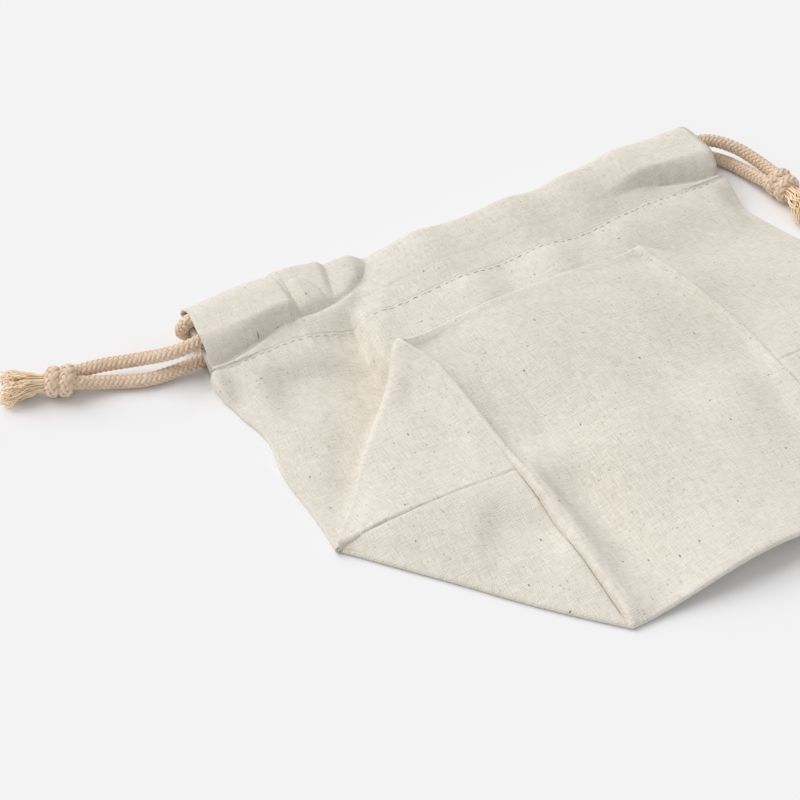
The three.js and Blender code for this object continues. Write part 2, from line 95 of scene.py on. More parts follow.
RIGHT_ROUTE = [
    (0.1183, 0.0570, 0.0060), (0.1173, 0.0650, 0.0064), (0.1129, 0.0750, 0.0086),
    (0.1044, 0.0815, 0.0112), (0.0905, 0.0830, 0.0129), (0.0651, 0.0827, 0.0129),
    (0.0396, 0.0787, 0.0154), (0.0142, 0.0770, 0.0178), (-0.0091, 0.0770, 0.0178),
    (-0.0325, 0.0770, 0.0177), (-0.0581, 0.0778, 0.0151), (-0.0834, 0.0824, 0.0129),
    (-0.1088, 0.0830, 0.0129), (-0.1157, 0.0830, 0.0129), (-0.1193, 0.0830, 0.0085),
    (-0.1157, 0.0830, 0.0041), (-0.1088, 0.0830, 0.0041), (-0.0623, 0.0785, 0.0041),
    (-0.0091, 0.0770, 0.0041), (0.0439, 0.0794, 0.0041), (0.0905, 0.0830, 0.0041),
    (0.1039, 0.0823, 0.0032), (0.1095, 0.0765, 0.0027), (0.1123, 0.0665, 0.0032),
    (0.1133, 0.0570, 0.0048),
]
# Numbers of the route's points that lie just inside the casing and round its far turn.
FRONT_INSIDE = 4
TURN_FIRST = 12
TURN_LAST = 16
BACK_INSIDE = 20
# The middle of the front casing lies lower than its ends: the hidden run sinks and is squeezed there.
SUNK_ALONG = (-0.090, -0.079, 0.042, 0.070)
SUNK_UP = 0.0092
TURN_MIDDLE = 0.0085
RUN_RADIUS = 0.0021
SUNK_RADIUS = 0.0012
# At the far turn the cord is pulled in against the casing, and its lower leg lies further back. The
# shares are those of the turn's five points.
TURN_IN = 0.0036
TURN_IN_SHARES = np.array([0, 0.6, 1, 0.6, 0])
TURN_BACK = 0.0048
TURN_BACK_SHARES = np.array([0, 0.1, 0.5, 0.9, 1])


def unit(vector):
    """The vector with a length of 1."""
    return vector / np.linalg.norm(vector)


def distance_along(path):
    """How far along a path each of its points lies."""
    return np.concatenate([[0], np.cumsum(np.linalg.norm(np.diff(path, axis=0), axis=1))])


def smooth_route(points, step):
    """Points a step apart on one smooth curve: each stretch is blended from the four points round it."""
    points = np.asarray(points, float)
    ends = [2 * points[0] - points[1], *points, 2 * points[-1] - points[-2]]
    dense = []
    for p0, p1, p2, p3 in zip(ends, ends[1:], ends[2:], ends[3:]):
        spans = [np.linalg.norm(b - a) ** 0.5 for a, b in ((p0, p1), (p1, p2), (p2, p3))]
        knots = np.cumsum([0] + spans)
        t = np.linspace(knots[1], knots[2], ROUTE_DENSITY, endpoint=False)[:, None]

        def between(a, b, i, j):
            return ((knots[j] - t) * a + (t - knots[i]) * b) / (knots[j] - knots[i])

        a1, a2, a3 = between(p0, p1, 0, 1), between(p1, p2, 1, 2), between(p2, p3, 2, 3)
        b1, b2 = between(a1, a2, 0, 2), between(a2, a3, 1, 3)
        dense.append(between(b1, b2, 1, 2))
    dense = np.vstack([*dense, points[-1]])
    along = distance_along(dense)
    even = np.linspace(0, along[-1], max(2, int(round(along[-1] / step)) + 1))
    return np.stack([np.interp(even, along, dense[:, i]) for i in range(3)], axis=1)


def route_frames(path):
    """Two unit vectors across the path at each of its points, which turn as little as they can."""
    tangents = np.gradient(path, axis=0)
    tangents /= np.linalg.norm(tangents, axis=1)[:, None]
    across = [unit(np.cross(tangents[0], (0, 0, 1)))]
    for tangent in tangents[1:]:
        across.append(unit(across[-1] - tangent * np.dot(across[-1], tangent)))
    across = np.array(across)
    return across, np.cross(tangents, across)


def tube_faces(rings, sides):
    """Quads of a tube whose rings of points follow each other, and its two end caps."""
    quads = []
    for ring in range(rings - 1):
        for side in range(sides):
            a = ring * sides + side
            b = ring * sides + (side + 1) % sides
            quads.append((a, b, b + sides, a + sides))
    last = (rings - 1) * sides
    return quads + [tuple(range(sides - 1, -1, -1)), tuple(range(last, last + sides))]


def plain_tube(path, radius, sides=TUBE_SIDES):
    """Points, faces and blank cloth coordinates of a plain round tube along a path."""
    across, up = route_frames(path)
    turn = np.linspace(0, 2 * np.pi, sides, endpoint=False)
    ring = across[:, None] * np.cos(turn)[:, None] + up[:, None] * np.sin(turn)[:, None]
    points = path[:, None] + np.broadcast_to(radius, len(path))[:, None, None] * ring
    return points.reshape(-1, 3), tube_faces(len(path), sides), np.zeros((len(path) * sides, 2))


def together(parts):
    """Points, faces and cloth coordinates of several parts as those of one mesh."""
    points, faces, coordinates = [], [], []
    start = 0
    for part_points, part_faces, part_coordinates in parts:
        points.append(part_points)
        faces += [tuple(start + i for i in face) for face in part_faces]
        coordinates.append(part_coordinates)
        start += len(part_points)
    return np.vstack(points), faces, np.vstack(coordinates)


def braid(path, radius=CORD_DIAMETER / 2):
    """Points, faces and cloth coordinates of a braid along a path: yarns over two and under two."""
    across, up = route_frames(path)
    along = distance_along(path)
    middle = radius - YARN_THICKNESS / 2 - YARN_SWING
    stretch = np.sqrt(1 + (2 * np.pi * middle / BRAID_LAY) ** 2)
    section = np.linspace(0, 2 * np.pi, YARN_SIDES, endpoint=False)
    wide = YARN_WIDTH / 2 * stretch * np.cos(section)[None, :, None]
    thick = YARN_THICKNESS / 2 * np.sin(section)[None, :, None]
    side = np.linspace(0, 1, YARN_SIDES) * np.pi * YARN_WIDTH
    parts = []
    for way in (1, -1):
        for yarn in range(YARNS_EACH_WAY):
            turn = 2 * np.pi * (yarn / YARNS_EACH_WAY + way * along / BRAID_LAY)
            # Over two and under two: the wave repeats with every fourth yarn that is crossed.
            crossing = 2 * yarn + way * 2 * YARNS_EACH_WAY * along / BRAID_LAY
            wave = way * np.cos(np.pi / 2 * (crossing - 0.5))
            outward = across * np.cos(turn)[:, None] + up * np.sin(turn)[:, None]
            aside = -across * np.sin(turn)[:, None] + up * np.cos(turn)[:, None]
            centre = path + (middle + YARN_SWING * wave)[:, None] * outward
            rings = centre[:, None] + wide * aside[:, None] + thick * outward[:, None]
            strand = along * stretch + YARN_APART * yarn + WAY_APART * way
            flat = np.stack(np.broadcast_arrays(side[None, :], strand[:, None]), -1)
            parts.append((rings.reshape(-1, 3), tube_faces(len(path), YARN_SIDES), flat.reshape(-1, 2)))
    parts.append(plain_tube(path, middle - CORE_SHORT * YARN_THICKNESS))
    return together(parts)


def mesh_piece(name, material, points, faces, coordinates=None):
    """A smooth mesh object, with its cloth coordinates in millimetres as its UV map."""
    mesh = bpy.data.meshes.new(name)
    mesh.from_pydata([tuple(p) for p in points], [], faces)
    mesh.polygons.foreach_set("use_smooth", [True] * len(mesh.polygons))
    if coordinates is not None:
        corner = np.empty(len(mesh.loops), int)
        mesh.loops.foreach_get("vertex_index", corner)
        layer = mesh.uv_layers.new(name="cloth")
        layer.data.foreach_set("uv", (np.asarray(coordinates)[corner] / MM).ravel())
    mesh.materials.append(material)
    mesh.update()
    made = bpy.data.objects.new(name, mesh)
    bpy.context.scene.collection.objects.link(made)
    return made


def linear(hex_colour):
    """An sRGB hex colour as linear red, green, blue and alpha."""
    shares = [int(hex_colour[i:i + 2], 16) / 255 for i in (1, 3, 5)]
    return [s / 12.92 if s <= 0.04045 else ((s + 0.055) / 1.055) ** 2.4 for s in shares] + [1.0]


def add_node(tree, kind, sockets=None, stops=(), **settings):
    """A node with its settings, sockets and ramp stops. A node given to a socket links its first output."""
    made = tree.nodes.new(kind)
    for name, value in settings.items():
        setattr(made, name, value)
    for name, value in (sockets or {}).items():
        if isinstance(value, bpy.types.Node):
            value = value.outputs[0]
        if isinstance(value, bpy.types.NodeSocket):
            tree.links.new(value, made.inputs[name])
        else:
            made.inputs[name].default_value = value
    for i, (position, colour) in enumerate(stops):
        elements = made.color_ramp.elements
        # A new ramp has two stops of its own.
        stop = elements[i] if i < 2 else elements.new(position)
        stop.position = position
        stop.color = linear(colour)
    return made


def blank_material(name):
    """A material without nodes, and its tree."""
    material = bpy.data.materials.new(name)
    material.use_nodes = True
    material.node_tree.nodes.clear()
    return material, material.node_tree


# Unbleached cotton braid: matt, warm beige, with fine plied threads that show as lines along each
# yarn. The tones are the dark, the light and the main one, with their places on the ramp.
COTTON_TONES = ((0.28, "#E9C7A4"), (0.74, "#FCEBD8"), (0.5, "#FAE0C6"))
PLY_WIDTH_MM = 0.36
PLY_SKEW = 0.55
PLY_TONE = 0.11
PLY_RELIEF_MM = 0.12
COTTON_MOTTLE_MM = 3.0

cotton, tree = blank_material("unbleached_cotton_braid")
cloth_uv = add_node(tree, "ShaderNodeUVMap", uv_map="cloth")
split = add_node(tree, "ShaderNodeSeparateXYZ", {0: cloth_uv})
skewed = add_node(tree, "ShaderNodeMath", {0: split.outputs[1], 1: PLY_SKEW, 2: split.outputs[0]},
                  operation="MULTIPLY_ADD")
ply = add_node(tree, "ShaderNodeMath", {0: skewed, 1: 2 * np.pi / PLY_WIDTH_MM}, operation="MULTIPLY")
ply_wave = add_node(tree, "ShaderNodeMath", {0: ply}, operation="SINE")
mottle = add_node(tree, "ShaderNodeTexNoise", {
    "Vector": cloth_uv, "Scale": 1 / COTTON_MOTTLE_MM, "Detail": 4.0, "Roughness": 0.6,
})
tone = add_node(tree, "ShaderNodeMath", {0: ply_wave, 1: PLY_TONE, 2: mottle}, operation="MULTIPLY_ADD")
colour = add_node(tree, "ShaderNodeValToRGB", {0: tone}, stops=COTTON_TONES)
relief = add_node(tree, "ShaderNodeBump", {
    "Strength": 0.5, "Distance": PLY_RELIEF_MM * MM, "Height": ply_wave,
})
shader = add_node(tree, "ShaderNodeBsdfPrincipled", {
    "Base Color": colour, "Normal": relief, "Roughness": 0.92, "IOR": 1.45, "Specular IOR Level": 0.2,
    "Sheen Weight": 0.2, "Sheen Roughness": 0.5,
})
add_node(tree, "ShaderNodeOutputMaterial", {"Surface": shader})


def drawstring(side, route):
    """One cord: two free ends that are braided in full, and the run inside the casing."""
    route = np.array(route)
    turn = route[TURN_FIRST:TURN_LAST + 1]
    turn[:, 0] -= np.sign(turn[2, 0]) * TURN_IN * TURN_IN_SHARES
    turn[:, 1] += TURN_BACK * TURN_BACK_SHARES
    free = {}
    for name, points in (("front", route[:FRONT_INSIDE + 1]), ("back", route[BACK_INSIDE:][::-1])):
        path = smooth_route(points, BRAID_STEP)
        free[name] = (mesh_piece(f"drawstring_{side}_{name}_end", cotton, *braid(path)), path)
    whole = smooth_route(route, HIDDEN_STEP)
    openings = route[[FRONT_INSIDE, BACK_INSIDE]]
    near = [np.linalg.norm(point - openings, axis=1).min() < HIDDEN_STEP for point in whole]
    first, last = np.flatnonzero(near)[[0, -1]]
    run = whole[first:last + 1]
    sunk = np.interp(run[:, 0], SUNK_ALONG, (0, 1, 1, 0)) * (run[:, 2] > TURN_MIDDLE)
    run[:, 2] += sunk * (SUNK_UP - run[:, 2])
    hidden = plain_tube(run, RUN_RADIUS + sunk * (SUNK_RADIUS - RUN_RADIUS))
    braided_turn = braid(smooth_route(turn, BRAID_STEP))
    inner = mesh_piece(f"drawstring_{side}_run", cotton, *together([braided_turn, hidden]))
    for part in (inner, free["front"][0], free["back"][0]):
        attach(part, "root")
        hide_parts(f"drawstring_{side}")
    return free


left_ends = drawstring("left", LEFT_ROUTE)
right_ends = drawstring("right", RIGHT_ROUTE)

# Each knot is an overhand knot in both ends of a cord at once. It shows as a barrel of two turns that
# lean a little, with both strands going in at one side and their tails coming out at the other.
KNOT_TURNS = [
    {"along": 0.0023, "lean": 12.0, "radius": 0.0027, "flat": 0.95},
    {"along": -0.0020, "lean": 16.0, "radius": 0.0030, "flat": 0.95},
]
KNOT_TURN_STEPS = 64
KNOT_CORD = 0.0029
KNOT_CORE = 0.0032
KNOT_CORE_ALONG = np.linspace(-0.0056, 0.0050, 12)
KNOT_CORE_TAPER = 0.0085
KNOT_CORE_SIDES = 14
# Where the strands meet in the knot, how straight they go in, and how many of a strand's first points
# give its heading.
STRANDS_MEET = (-0.001, 0.0, 0.0)
STRAIGHT_IN = 0.45
HEADING_POINTS = 4
KNOT_LEFT = {"at": (-0.16052, 0.08491, 0.0058), "turn": 157.0}
KNOT_RIGHT = {"at": (0.11659, 0.05052, 0.0058), "turn": -90.0}


def knot_to_bag(points, knot):
    """Points along a knot's own X axis, with its tails at +X, as points of the bag."""
    cos, sin = np.cos(np.radians(knot["turn"])), np.sin(np.radians(knot["turn"]))
    x, y, z = np.asarray(points).T
    return np.stack([x * cos - y * sin, x * sin + y * cos, z], axis=1) + knot["at"]


def knot_piece(side, knot, ends):
    """Two turns of braid on a core, and both strands going into them."""
    parts = []
    for ring in KNOT_TURNS:
        turn = np.linspace(-np.pi / 2, 1.5 * np.pi, KNOT_TURN_STEPS)
        lean = np.radians(ring["lean"])
        path = np.stack([
            ring["along"] - ring["radius"] * np.sin(turn) * np.sin(lean),
            ring["radius"] * np.cos(turn),
            ring["radius"] * ring["flat"] * np.sin(turn) * np.cos(lean),
        ], axis=1)
        parts.append(braid(path, radius=KNOT_CORD))
    core_path = np.stack([KNOT_CORE_ALONG, 0 * KNOT_CORE_ALONG, 0 * KNOT_CORE_ALONG], axis=1)
    core_radius = KNOT_CORE * np.sqrt(1 - (KNOT_CORE_ALONG / KNOT_CORE_TAPER) ** 2)
    parts.append(plain_tube(core_path, core_radius, KNOT_CORE_SIDES))
    parts = [(knot_to_bag(points, knot), faces, flat) for points, faces, flat in parts]
    middle = knot_to_bag([STRANDS_MEET], knot)[0]
    for _, path in ends.values():
        heading = unit(path[0] - path[HEADING_POINTS])
        reach = np.linalg.norm(middle - path[0])
        into = [path[0], path[0] + heading * reach * STRAIGHT_IN, middle]
        parts.append(braid(smooth_route(into, BRAID_STEP)))
    made = mesh_piece(f"knot_{side}_turns", cotton, *together(parts))
    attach(made, "root")
    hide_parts(f"knot_{side}")
    return made


knot_left = knot_piece("left", KNOT_LEFT, left_ends)
knot_right = knot_piece("right", KNOT_RIGHT, right_ends)

# Past the knot the tails are cut and combed out: single cotton threads that fan, curl and droop until
# the lowest lie on the table.
FRAY_THREADS = 88
FRAY_START = 0.0045
FRAY_NECK = 0.0078
FRAY_TIP = 0.0205
FRAY_NECK_SHARE = 0.22
FRAY_SHORTEST = 0.62
FRAY_NECK_RADIUS = 0.0029
FRAY_FAN = 0.0060
FRAY_FLAT = (0.95, 0.62)
FRAY_DROOP = 0.0022
FRAY_CURL = 0.0018
FRAY_LIFT = 0.0014
FRAY_LEAST_TURNS = 0.6
THREAD_RADIUS = 0.00036
THREAD_TAPER = 0.4
THREAD_STEPS = 14
THREAD_SIDES = 4
THREAD_CLEAR = 0.0003
# Each thread takes its own stretch of the cotton's pattern.
THREAD_APART = 0.05
THREAD_ASIDE = 0.013

# Loose cotton threads: lighter and yellower than the braid, soft, and a little uneven from one to the
# next. The tones are the dark, the light and the main one, with their places on the ramp.
FRAY_TONES = ((0.25, "#FFD5A4"), (0.75, "#FFF3DE"), (0.5, "#FFE7C6"))
FRAY_MOTTLE_MM = 2.5

loose_cotton, tree = blank_material("loose_cotton_threads")
thread_uv = add_node(tree, "ShaderNodeUVMap", uv_map="cloth")
tone = add_node(tree, "ShaderNodeTexNoise", {"Vector": thread_uv, "Scale": 1 / FRAY_MOTTLE_MM, "Detail": 3.0})
colour = add_node(tree, "ShaderNodeValToRGB", {0: tone}, stops=FRAY_TONES)
shader = add_node(tree, "ShaderNodeBsdfPrincipled", {
    "Base Color": colour, "Roughness": 0.85, "Specular IOR Level": 0.25, "Sheen Weight": 0.3,
})
add_node(tree, "ShaderNodeOutputMaterial", {"Surface": shader})


def frayed_end(side, knot, seed):
    """The loose threads past one knot."""
    chance = np.random.RandomState(seed)
    share = np.linspace(0, 1, THREAD_STEPS)
    past = np.clip((share - FRAY_NECK_SHARE) / (1 - FRAY_NECK_SHARE), 0, 1)
    flat = FRAY_FLAT[0] + (FRAY_FLAT[1] - FRAY_FLAT[0]) * past
    lowest = THREAD_RADIUS + THREAD_CLEAR - knot["at"][2]
    parts = []
    for thread in range(FRAY_THREADS):
        turn = 2 * np.pi * chance.rand()
        out = np.sqrt(chance.rand())
        length = (FRAY_TIP - FRAY_NECK) * (FRAY_SHORTEST + (1 - FRAY_SHORTEST) * chance.rand())
        along = np.interp(share, (0, FRAY_NECK_SHARE, 1), (FRAY_START, FRAY_NECK, FRAY_NECK + length))
        reach = out * (FRAY_NECK_RADIUS + (FRAY_FAN - FRAY_NECK_RADIUS) * np.sqrt(past))
        curl, lift = (
            size * past * np.sin(2 * np.pi * (past * (FRAY_LEAST_TURNS + chance.rand()) + chance.rand()))
            for size in (FRAY_CURL, FRAY_LIFT)
        )
        aside = reach * np.cos(turn) + curl
        up = flat * reach * np.sin(turn) + lift - FRAY_DROOP * past ** 2
        path = np.stack([along, aside, np.maximum(up, lowest)], axis=1)
        tube, quads, _ = plain_tube(path, THREAD_RADIUS * (1 - THREAD_TAPER * share), THREAD_SIDES)
        strand = np.repeat(along + THREAD_APART * thread, THREAD_SIDES)
        parts.append((tube, quads, np.stack([np.full_like(strand, THREAD_ASIDE * thread), strand], axis=1)))
    points, faces, coordinates = together(parts)
    points = knot_to_bag(points, knot)
    made = mesh_piece(f"frayed_end_{side}_threads", loose_cotton, points, faces, coordinates)
    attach(made, "root")
    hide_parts(f"frayed_end_{side}")
    return made


frayed_left = frayed_end("left", KNOT_LEFT, seed=4)
frayed_right = frayed_end("right", KNOT_RIGHT, seed=9)

# The bag is one piece of natural linen, folded at the base and sewn up both sides, with its lower
# corners sewn across. It lies flat, the base folded up over the front. Sizes are in millimetres, and
# a place on the cloth is (across, down), from the left end of the mouth.
BAG_WIDTH = 232.0
BAG_HEIGHT = 182.0
BASE_DEPTH = 130.0
CASING_DEPTH = 29.0
MOUTH_WIDTH = 212.0
LINEN_THICKNESS = 0.8
# The solid's cloth is thicker, and heights are those of its middle.
CAD_CLOTH = 1.0
HALF_BASE = BASE_DEPTH / 2
BASE_WIDTH = BAG_WIDTH - BASE_DEPTH
FOLD_LINE = BAG_HEIGHT - HALF_BASE
# The place on the cloth that lies at the frame's origin.
MIDDLE_ACROSS = 115.12
MIDDLE_DOWN = 91.515


def rise(value, start, end):
    """A smooth step from 0 at the start to 1 at the end."""
    share = np.clip((value - start) / (end - start), 0, 1)
    return share * share * (3 - 2 * share)


def plateau(value, start, full, full_to, end):
    """A smooth step up from start to full, and down again from full_to to end."""
    return rise(value, start, full) * (1 - rise(value, full_to, end))


def hump(value, at, half):
    """A soft bell, 1 high."""
    return np.exp(-(((value - at) / half) ** 2))


def mix(a, b, share):
    """From a at share 0 to b at share 1."""
    return a + (b - a) * share


def inset(across):
    """Distance in from the nearer side of the bag."""
    return np.maximum(0, np.minimum(across, BAG_WIDTH - across))


# Where the edges wander: (at, half, shift) down the left edge, the folded corners, and the middle of
# the mouth, which sags.
LEFT_WAVES = [(4, 12, 2.0), (36, 10, 1.2), (60, 15, 5.2), (92, 20, 2.4)]
WAVE_REACH = 25
CORNER_SHIFTS = [
    {"at": HALF_BASE, "down": FOLD_LINE - HALF_BASE, "reach": 14, "outward": -4.2, "lower": 2.2},
    {"at": 48, "down": 69, "reach": 13, "outward": 1.0, "lower": 0.0},
    {"at": 25, "down": 92, "reach": 13, "outward": -1.6, "lower": 0.0},
    {"at": 0, "down": FOLD_LINE, "reach": 24, "outward": 2.4, "lower": -3.6},
    {"at": 24, "down": 141, "reach": 24, "outward": 1.4, "lower": -1.8},
    {"at": 8, "down": 31, "reach": 26, "outward": 0.0, "lower": 2.0},
]
MOUTH_SAG = 6.4
SAG_ACROSS = (25, 75, 150, 205)
SAG_END = 75


def place(across, down, up):
    """A place on the cloth as a point of the bag, in metres: the mouth is gathered in."""
    across, down, up = np.broadcast_arrays(np.asarray(across, float), down, up)
    gathered = 1 - rise(down, CASING_DEPTH, FOLD_LINE)
    near_left = np.exp(-np.maximum(across, 0) / WAVE_REACH)
    x = across * (1 - (1 - MOUTH_WIDTH / BAG_WIDTH) * gathered)
    y = down + MOUTH_SAG * plateau(across, *SAG_ACROSS) * (1 - rise(down, CASING_DEPTH, SAG_END))
    for at, half, shift in LEFT_WAVES:
        x = x + shift * hump(down, at, half) * near_left
    for corner in CORNER_SHIFTS:
        near = hump(across, corner["at"], corner["reach"]) * hump(down, corner["down"], corner["reach"])
        x = x + near * corner["outward"]
        y = y + near * corner["lower"]
    return np.stack([x - MIDDLE_ACROSS, MIDDLE_DOWN - y, up], axis=-1) * MM


# Soft folds as ridges (height above 0) and troughs (below 0) along a line on the cloth:
# from and to as (across, down), half widths to the left and right of the line, and height.
FRONT_FOLDS = [
    ((56, 27), (54, 70), 14.0, 3.4, -7.6),
    ((60, 26), (60, 60), 3.5, 8.0, 1.2),
    ((17, 43), (44, 48), 11.0, 6.0, -2.6),
    ((58, 53), (10, 101), 8.0, 8.0, -2.0),
    ((33, 56), (22, 80), 5.0, 6.0, -1.0),
    ((8, 34), (20, 62), 6.0, 6.0, 0.6),
    ((12, 72), (24, 86), 7.0, 7.0, -0.5),
    ((100, 30), (104, 50), 5.0, 7.0, 1.0),
    ((118, 31), (116, 50), 5.0, 6.0, -0.9),
    ((142, 30), (138, 50), 7.0, 5.0, 1.1),
    ((160, 31), (163, 52), 6.0, 7.0, -0.8),
    ((176, 30), (182, 60), 6.0, 7.0, 0.9),
    ((198, 32), (206, 62), 6.0, 6.0, -0.7),
    ((214, 34), (222, 66), 5.0, 6.0, 0.5),
]
BASE_FOLDS = [
    ((52, 70), (53, 103), 8.0, 6.0, -1.6),
    ((12, 118), (50, 119), 13.0, 20.0, 1.2),
    ((44, 134), (64, 145), 11.0, 8.0, -2.6),
    ((46, 152), (60, 166), 7.0, 6.0, -0.5),
    ((78, 60), (84, 112), 7.0, 9.0, -1.4),
    ((84, 120), (76, 172), 7.0, 9.0, -1.0),
    ((100, 62), (112, 150), 9.0, 12.0, 0.8),
    ((130, 58), (124, 140), 8.0, 9.0, -0.7),
    ((148, 66), (150, 160), 8.0, 9.0, 0.7),
    ((190, 100), (172, 82), 8.0, 8.0, -0.5),
    ((206, 128), (176, 146), 8.0, 8.0, 0.5),
]
# How a fold fades in and out, as shares of its line.
FOLD_ENDS = (-0.25, 0.2, 0.75, 1.3)


def folds(across, down, table):
    """What the soft folds of a table add to the cloth's height."""
    height = np.zeros(np.broadcast(across, down).shape)
    for (a0, d0), (a1, d1), left, right, high in table:
        run = np.hypot(a1 - a0, d1 - d0)
        ta, td = (a1 - a0) / run, (d1 - d0) / run
        along = ((across - a0) * ta + (down - d0) * td) / run
        off = (across - a0) * td - (down - d0) * ta
        height += high * hump(off, 0, np.where(off < 0, left, right)) * plateau(along, *FOLD_ENDS)
    return height


# Three sets of waves that cross each other, 20 to 70 mm long, and stray from straight lines. Their
# millimetres are those of one radian.
BROAD_WAVES = {"height": 0.22, "across_mm": 8.3, "down_mm": 10.7, "start": 0.8, "stray": 0.6, "stray_mm": 13}
SLANT_WAVES = {"height": 0.14, "slant": 0.6, "mm": 4.9, "stray": 1.0, "stray_mm": 17}
CROSS_WAVES = {"height": 0.10, "slant": -1.3, "mm": 5.7, "stray": 1.1, "stray_mm": 9}


def stray(waves, at):
    """How far a set of waves strays, in radians."""
    return waves["stray"] * np.sin(at / waves["stray_mm"])


def slanting(waves, across, down, strayed):
    """The height of one set of waves on a slant."""
    return waves["height"] * np.sin((across + waves["slant"] * down) / waves["mm"] + strayed)


def unevenness(across, down):
    """The slight waviness of washed linen that no press has flattened."""
    broad = BROAD_WAVES["height"] * np.sin(across / BROAD_WAVES["across_mm"] + stray(BROAD_WAVES, down))
    broad = broad * np.sin(down / BROAD_WAVES["down_mm"] + BROAD_WAVES["start"])
    slant = slanting(SLANT_WAVES, across, down, stray(SLANT_WAVES, across))
    cross = slanting(CROSS_WAVES, across, down, stray(CROSS_WAVES, down))
    return broad + slant + cross


# Gathers that the cords draw up in the casing and that run on down the front, pinched in where the
# casing is stitched. The soft ones start below it.
GATHERS = [
    {"at": 101, "half": 10, "height": 2.4, "reach": 30, "drift": 0.1},
    {"at": 136, "half": 11, "height": 2.6, "reach": 26, "drift": -0.1},
    {"at": 168, "half": 10, "height": 2.2, "reach": 24, "drift": 0.1},
    {"at": 195, "half": 10, "height": 1.8, "reach": 20, "drift": 0},
]
SOFT_GATHERS = [
    {"at": 52, "half": 6, "height": 1.2, "reach": 22, "drift": 0.05},
    {"at": 68, "half": 7, "height": 1.4, "reach": 34, "drift": -0.3},
]
PINCH = 0.6
PINCH_HALF = 5
GATHERS_FADE = (40, 66)


def gathers(across, down, table):
    """What the gathers of a table add to the cloth's height."""
    below = np.maximum(0, down - CASING_DEPTH)
    height = 0
    for row in table:
        middle = row["at"] + row["drift"] * (down - CASING_DEPTH)
        height = height + row["height"] * hump(across, middle, row["half"]) * np.exp(-below / row["reach"])
    return height * (1 - PINCH * hump(down, CASING_DEPTH, PINCH_HALF)) * (1 - rise(down, *GATHERS_FADE))


# The casing is flat at its left end, up to a pleat whose edge laps over two lobes on its right. The
# lobes are round above and end steeply at one bent crease, with a notch between them and a tongue of
# cloth on the first. The bend and the brow are given as powers.
PLEAT_TOP = 40.8
PLEAT_SLANT = 0.06
LIP_HEIGHT = 0.7
LIP_SHARP = 0.3
LIP_ACROSS = (-15, -1)
LIP_DOWN = (1, 8, 19, 28)
LOBE_UP = 16.9
LOBE_FALL = 0.14
LOBE_START = (-4.6, -1.2)
LOBE_FADE = (0.74, 1.0)
LOBE_BROW = (3, 0.5)
SHOULDER = (-1, 4)
SHOULDER_DIP = 0.8
CREASE_DOWN = 20.0
CREASE_WIDE = 36.0
CREASE_BEND = (2.4, 0.8)
CREASE_LEAST = 0.01
CREASE_DITCH = 1.3
CREASE_DITCH_BELOW = 0.7
CREASE_DITCH_HALF = 1.0
CREASE_DITCH_FADE = (0.4, 0.8)
NOTCH_TOP = 59.5
NOTCH_SLANT = 0.2
NOTCH_DEEP = 2.6
NOTCH_LEFT = 1.8
NOTCH_RIGHT = 5.5
TONGUE = {"at": 42, "down": 20, "wide": 9.5, "deep": 12.0, "height": 2.2, "edge": (0.98, 1.03)}


def past_pleat(across, down):
    """Distance to the right of the pleat's edge, which slants."""
    return across - PLEAT_TOP + PLEAT_SLANT * down


def lobes(across, down, ground):
    """What the two lobes add to the ground."""
    share = np.clip((across - PLEAT_TOP) / CREASE_WIDE, 0, 1)
    crease = CREASE_DOWN * (1 - share ** CREASE_BEND[0]) ** CREASE_BEND[1]
    depth = np.maximum(down, 0) / np.maximum(crease, CREASE_LEAST)
    inside = np.maximum(1 - depth ** LOBE_BROW[0], 0) ** LOBE_BROW[1] * (1 - rise(share, *LOBE_FADE))
    off = across - NOTCH_TOP + NOTCH_SLANT * down
    notch = np.where(off < 0, hump(off, 0, NOTCH_LEFT), np.exp(-np.maximum(off, 0) / NOTCH_RIGHT))
    shoulder = rise(across - PLEAT_TOP, *SHOULDER)
    top = LOBE_UP - SHOULDER_DIP * (1 - shoulder) - LOBE_FALL * down - NOTCH_DEEP * notch
    above = np.minimum(down - TONGUE["down"], 0) / TONGUE["deep"]
    far = np.hypot((across - TONGUE["at"]) / TONGUE["wide"], above)
    top = top + TONGUE["height"] * (1 - rise(far, *TONGUE["edge"])) * shoulder
    ditch = CREASE_DITCH * hump(down, crease + CREASE_DITCH_BELOW, CREASE_DITCH_HALF)
    ditch = ditch * (1 - rise(share, *CREASE_DITCH_FADE))
    return (inside * np.maximum(top - ground, 0) - ditch) * rise(past_pleat(across, down), *LOBE_START)


def pleat_lip(across, down):
    """The edge of the flat stretch, which laps over the lobes."""
    past = past_pleat(across, down)
    lip = (1 - rise(past, -LIP_SHARP, LIP_SHARP)) * rise(past, *LIP_ACROSS)
    return LIP_HEIGHT * lip * plateau(down, *LIP_DOWN)


# Heights of the four layers of cloth on the table: back, front, the front's return, and the base. The
# front is a low dome with a raised collar below the casing, and the stack is pressed thin at its tips.
LAYER = 1.8
EDGE_FOLD = 2.5
FOLD_BULGE = 2.0
BACK_LIFT = 8.0
BACK_LIFT_FROM = 130
DOME_UP = 10.9
DOME_ACROSS = (8, 104)
DOME_FALL = 0.8
COLLAR_UP = 6.0
COLLAR_END = 60
TIP_RISE = 0.2
TIP_THIN = 0.45
TIP_REACH = (2, 34)


def back_height(across, down):
    """The back, whose lower edge lifts off the table between the corners."""
    along = np.clip((across - HALF_BASE) / BASE_WIDTH, 0, 1)
    outward = np.maximum(0, down - BACK_LIFT_FROM) / (BAG_HEIGHT - BACK_LIFT_FROM)
    return CAD_CLOTH / 2 + BACK_LIFT * np.sin(np.pi * along) ** 2 * outward ** 2


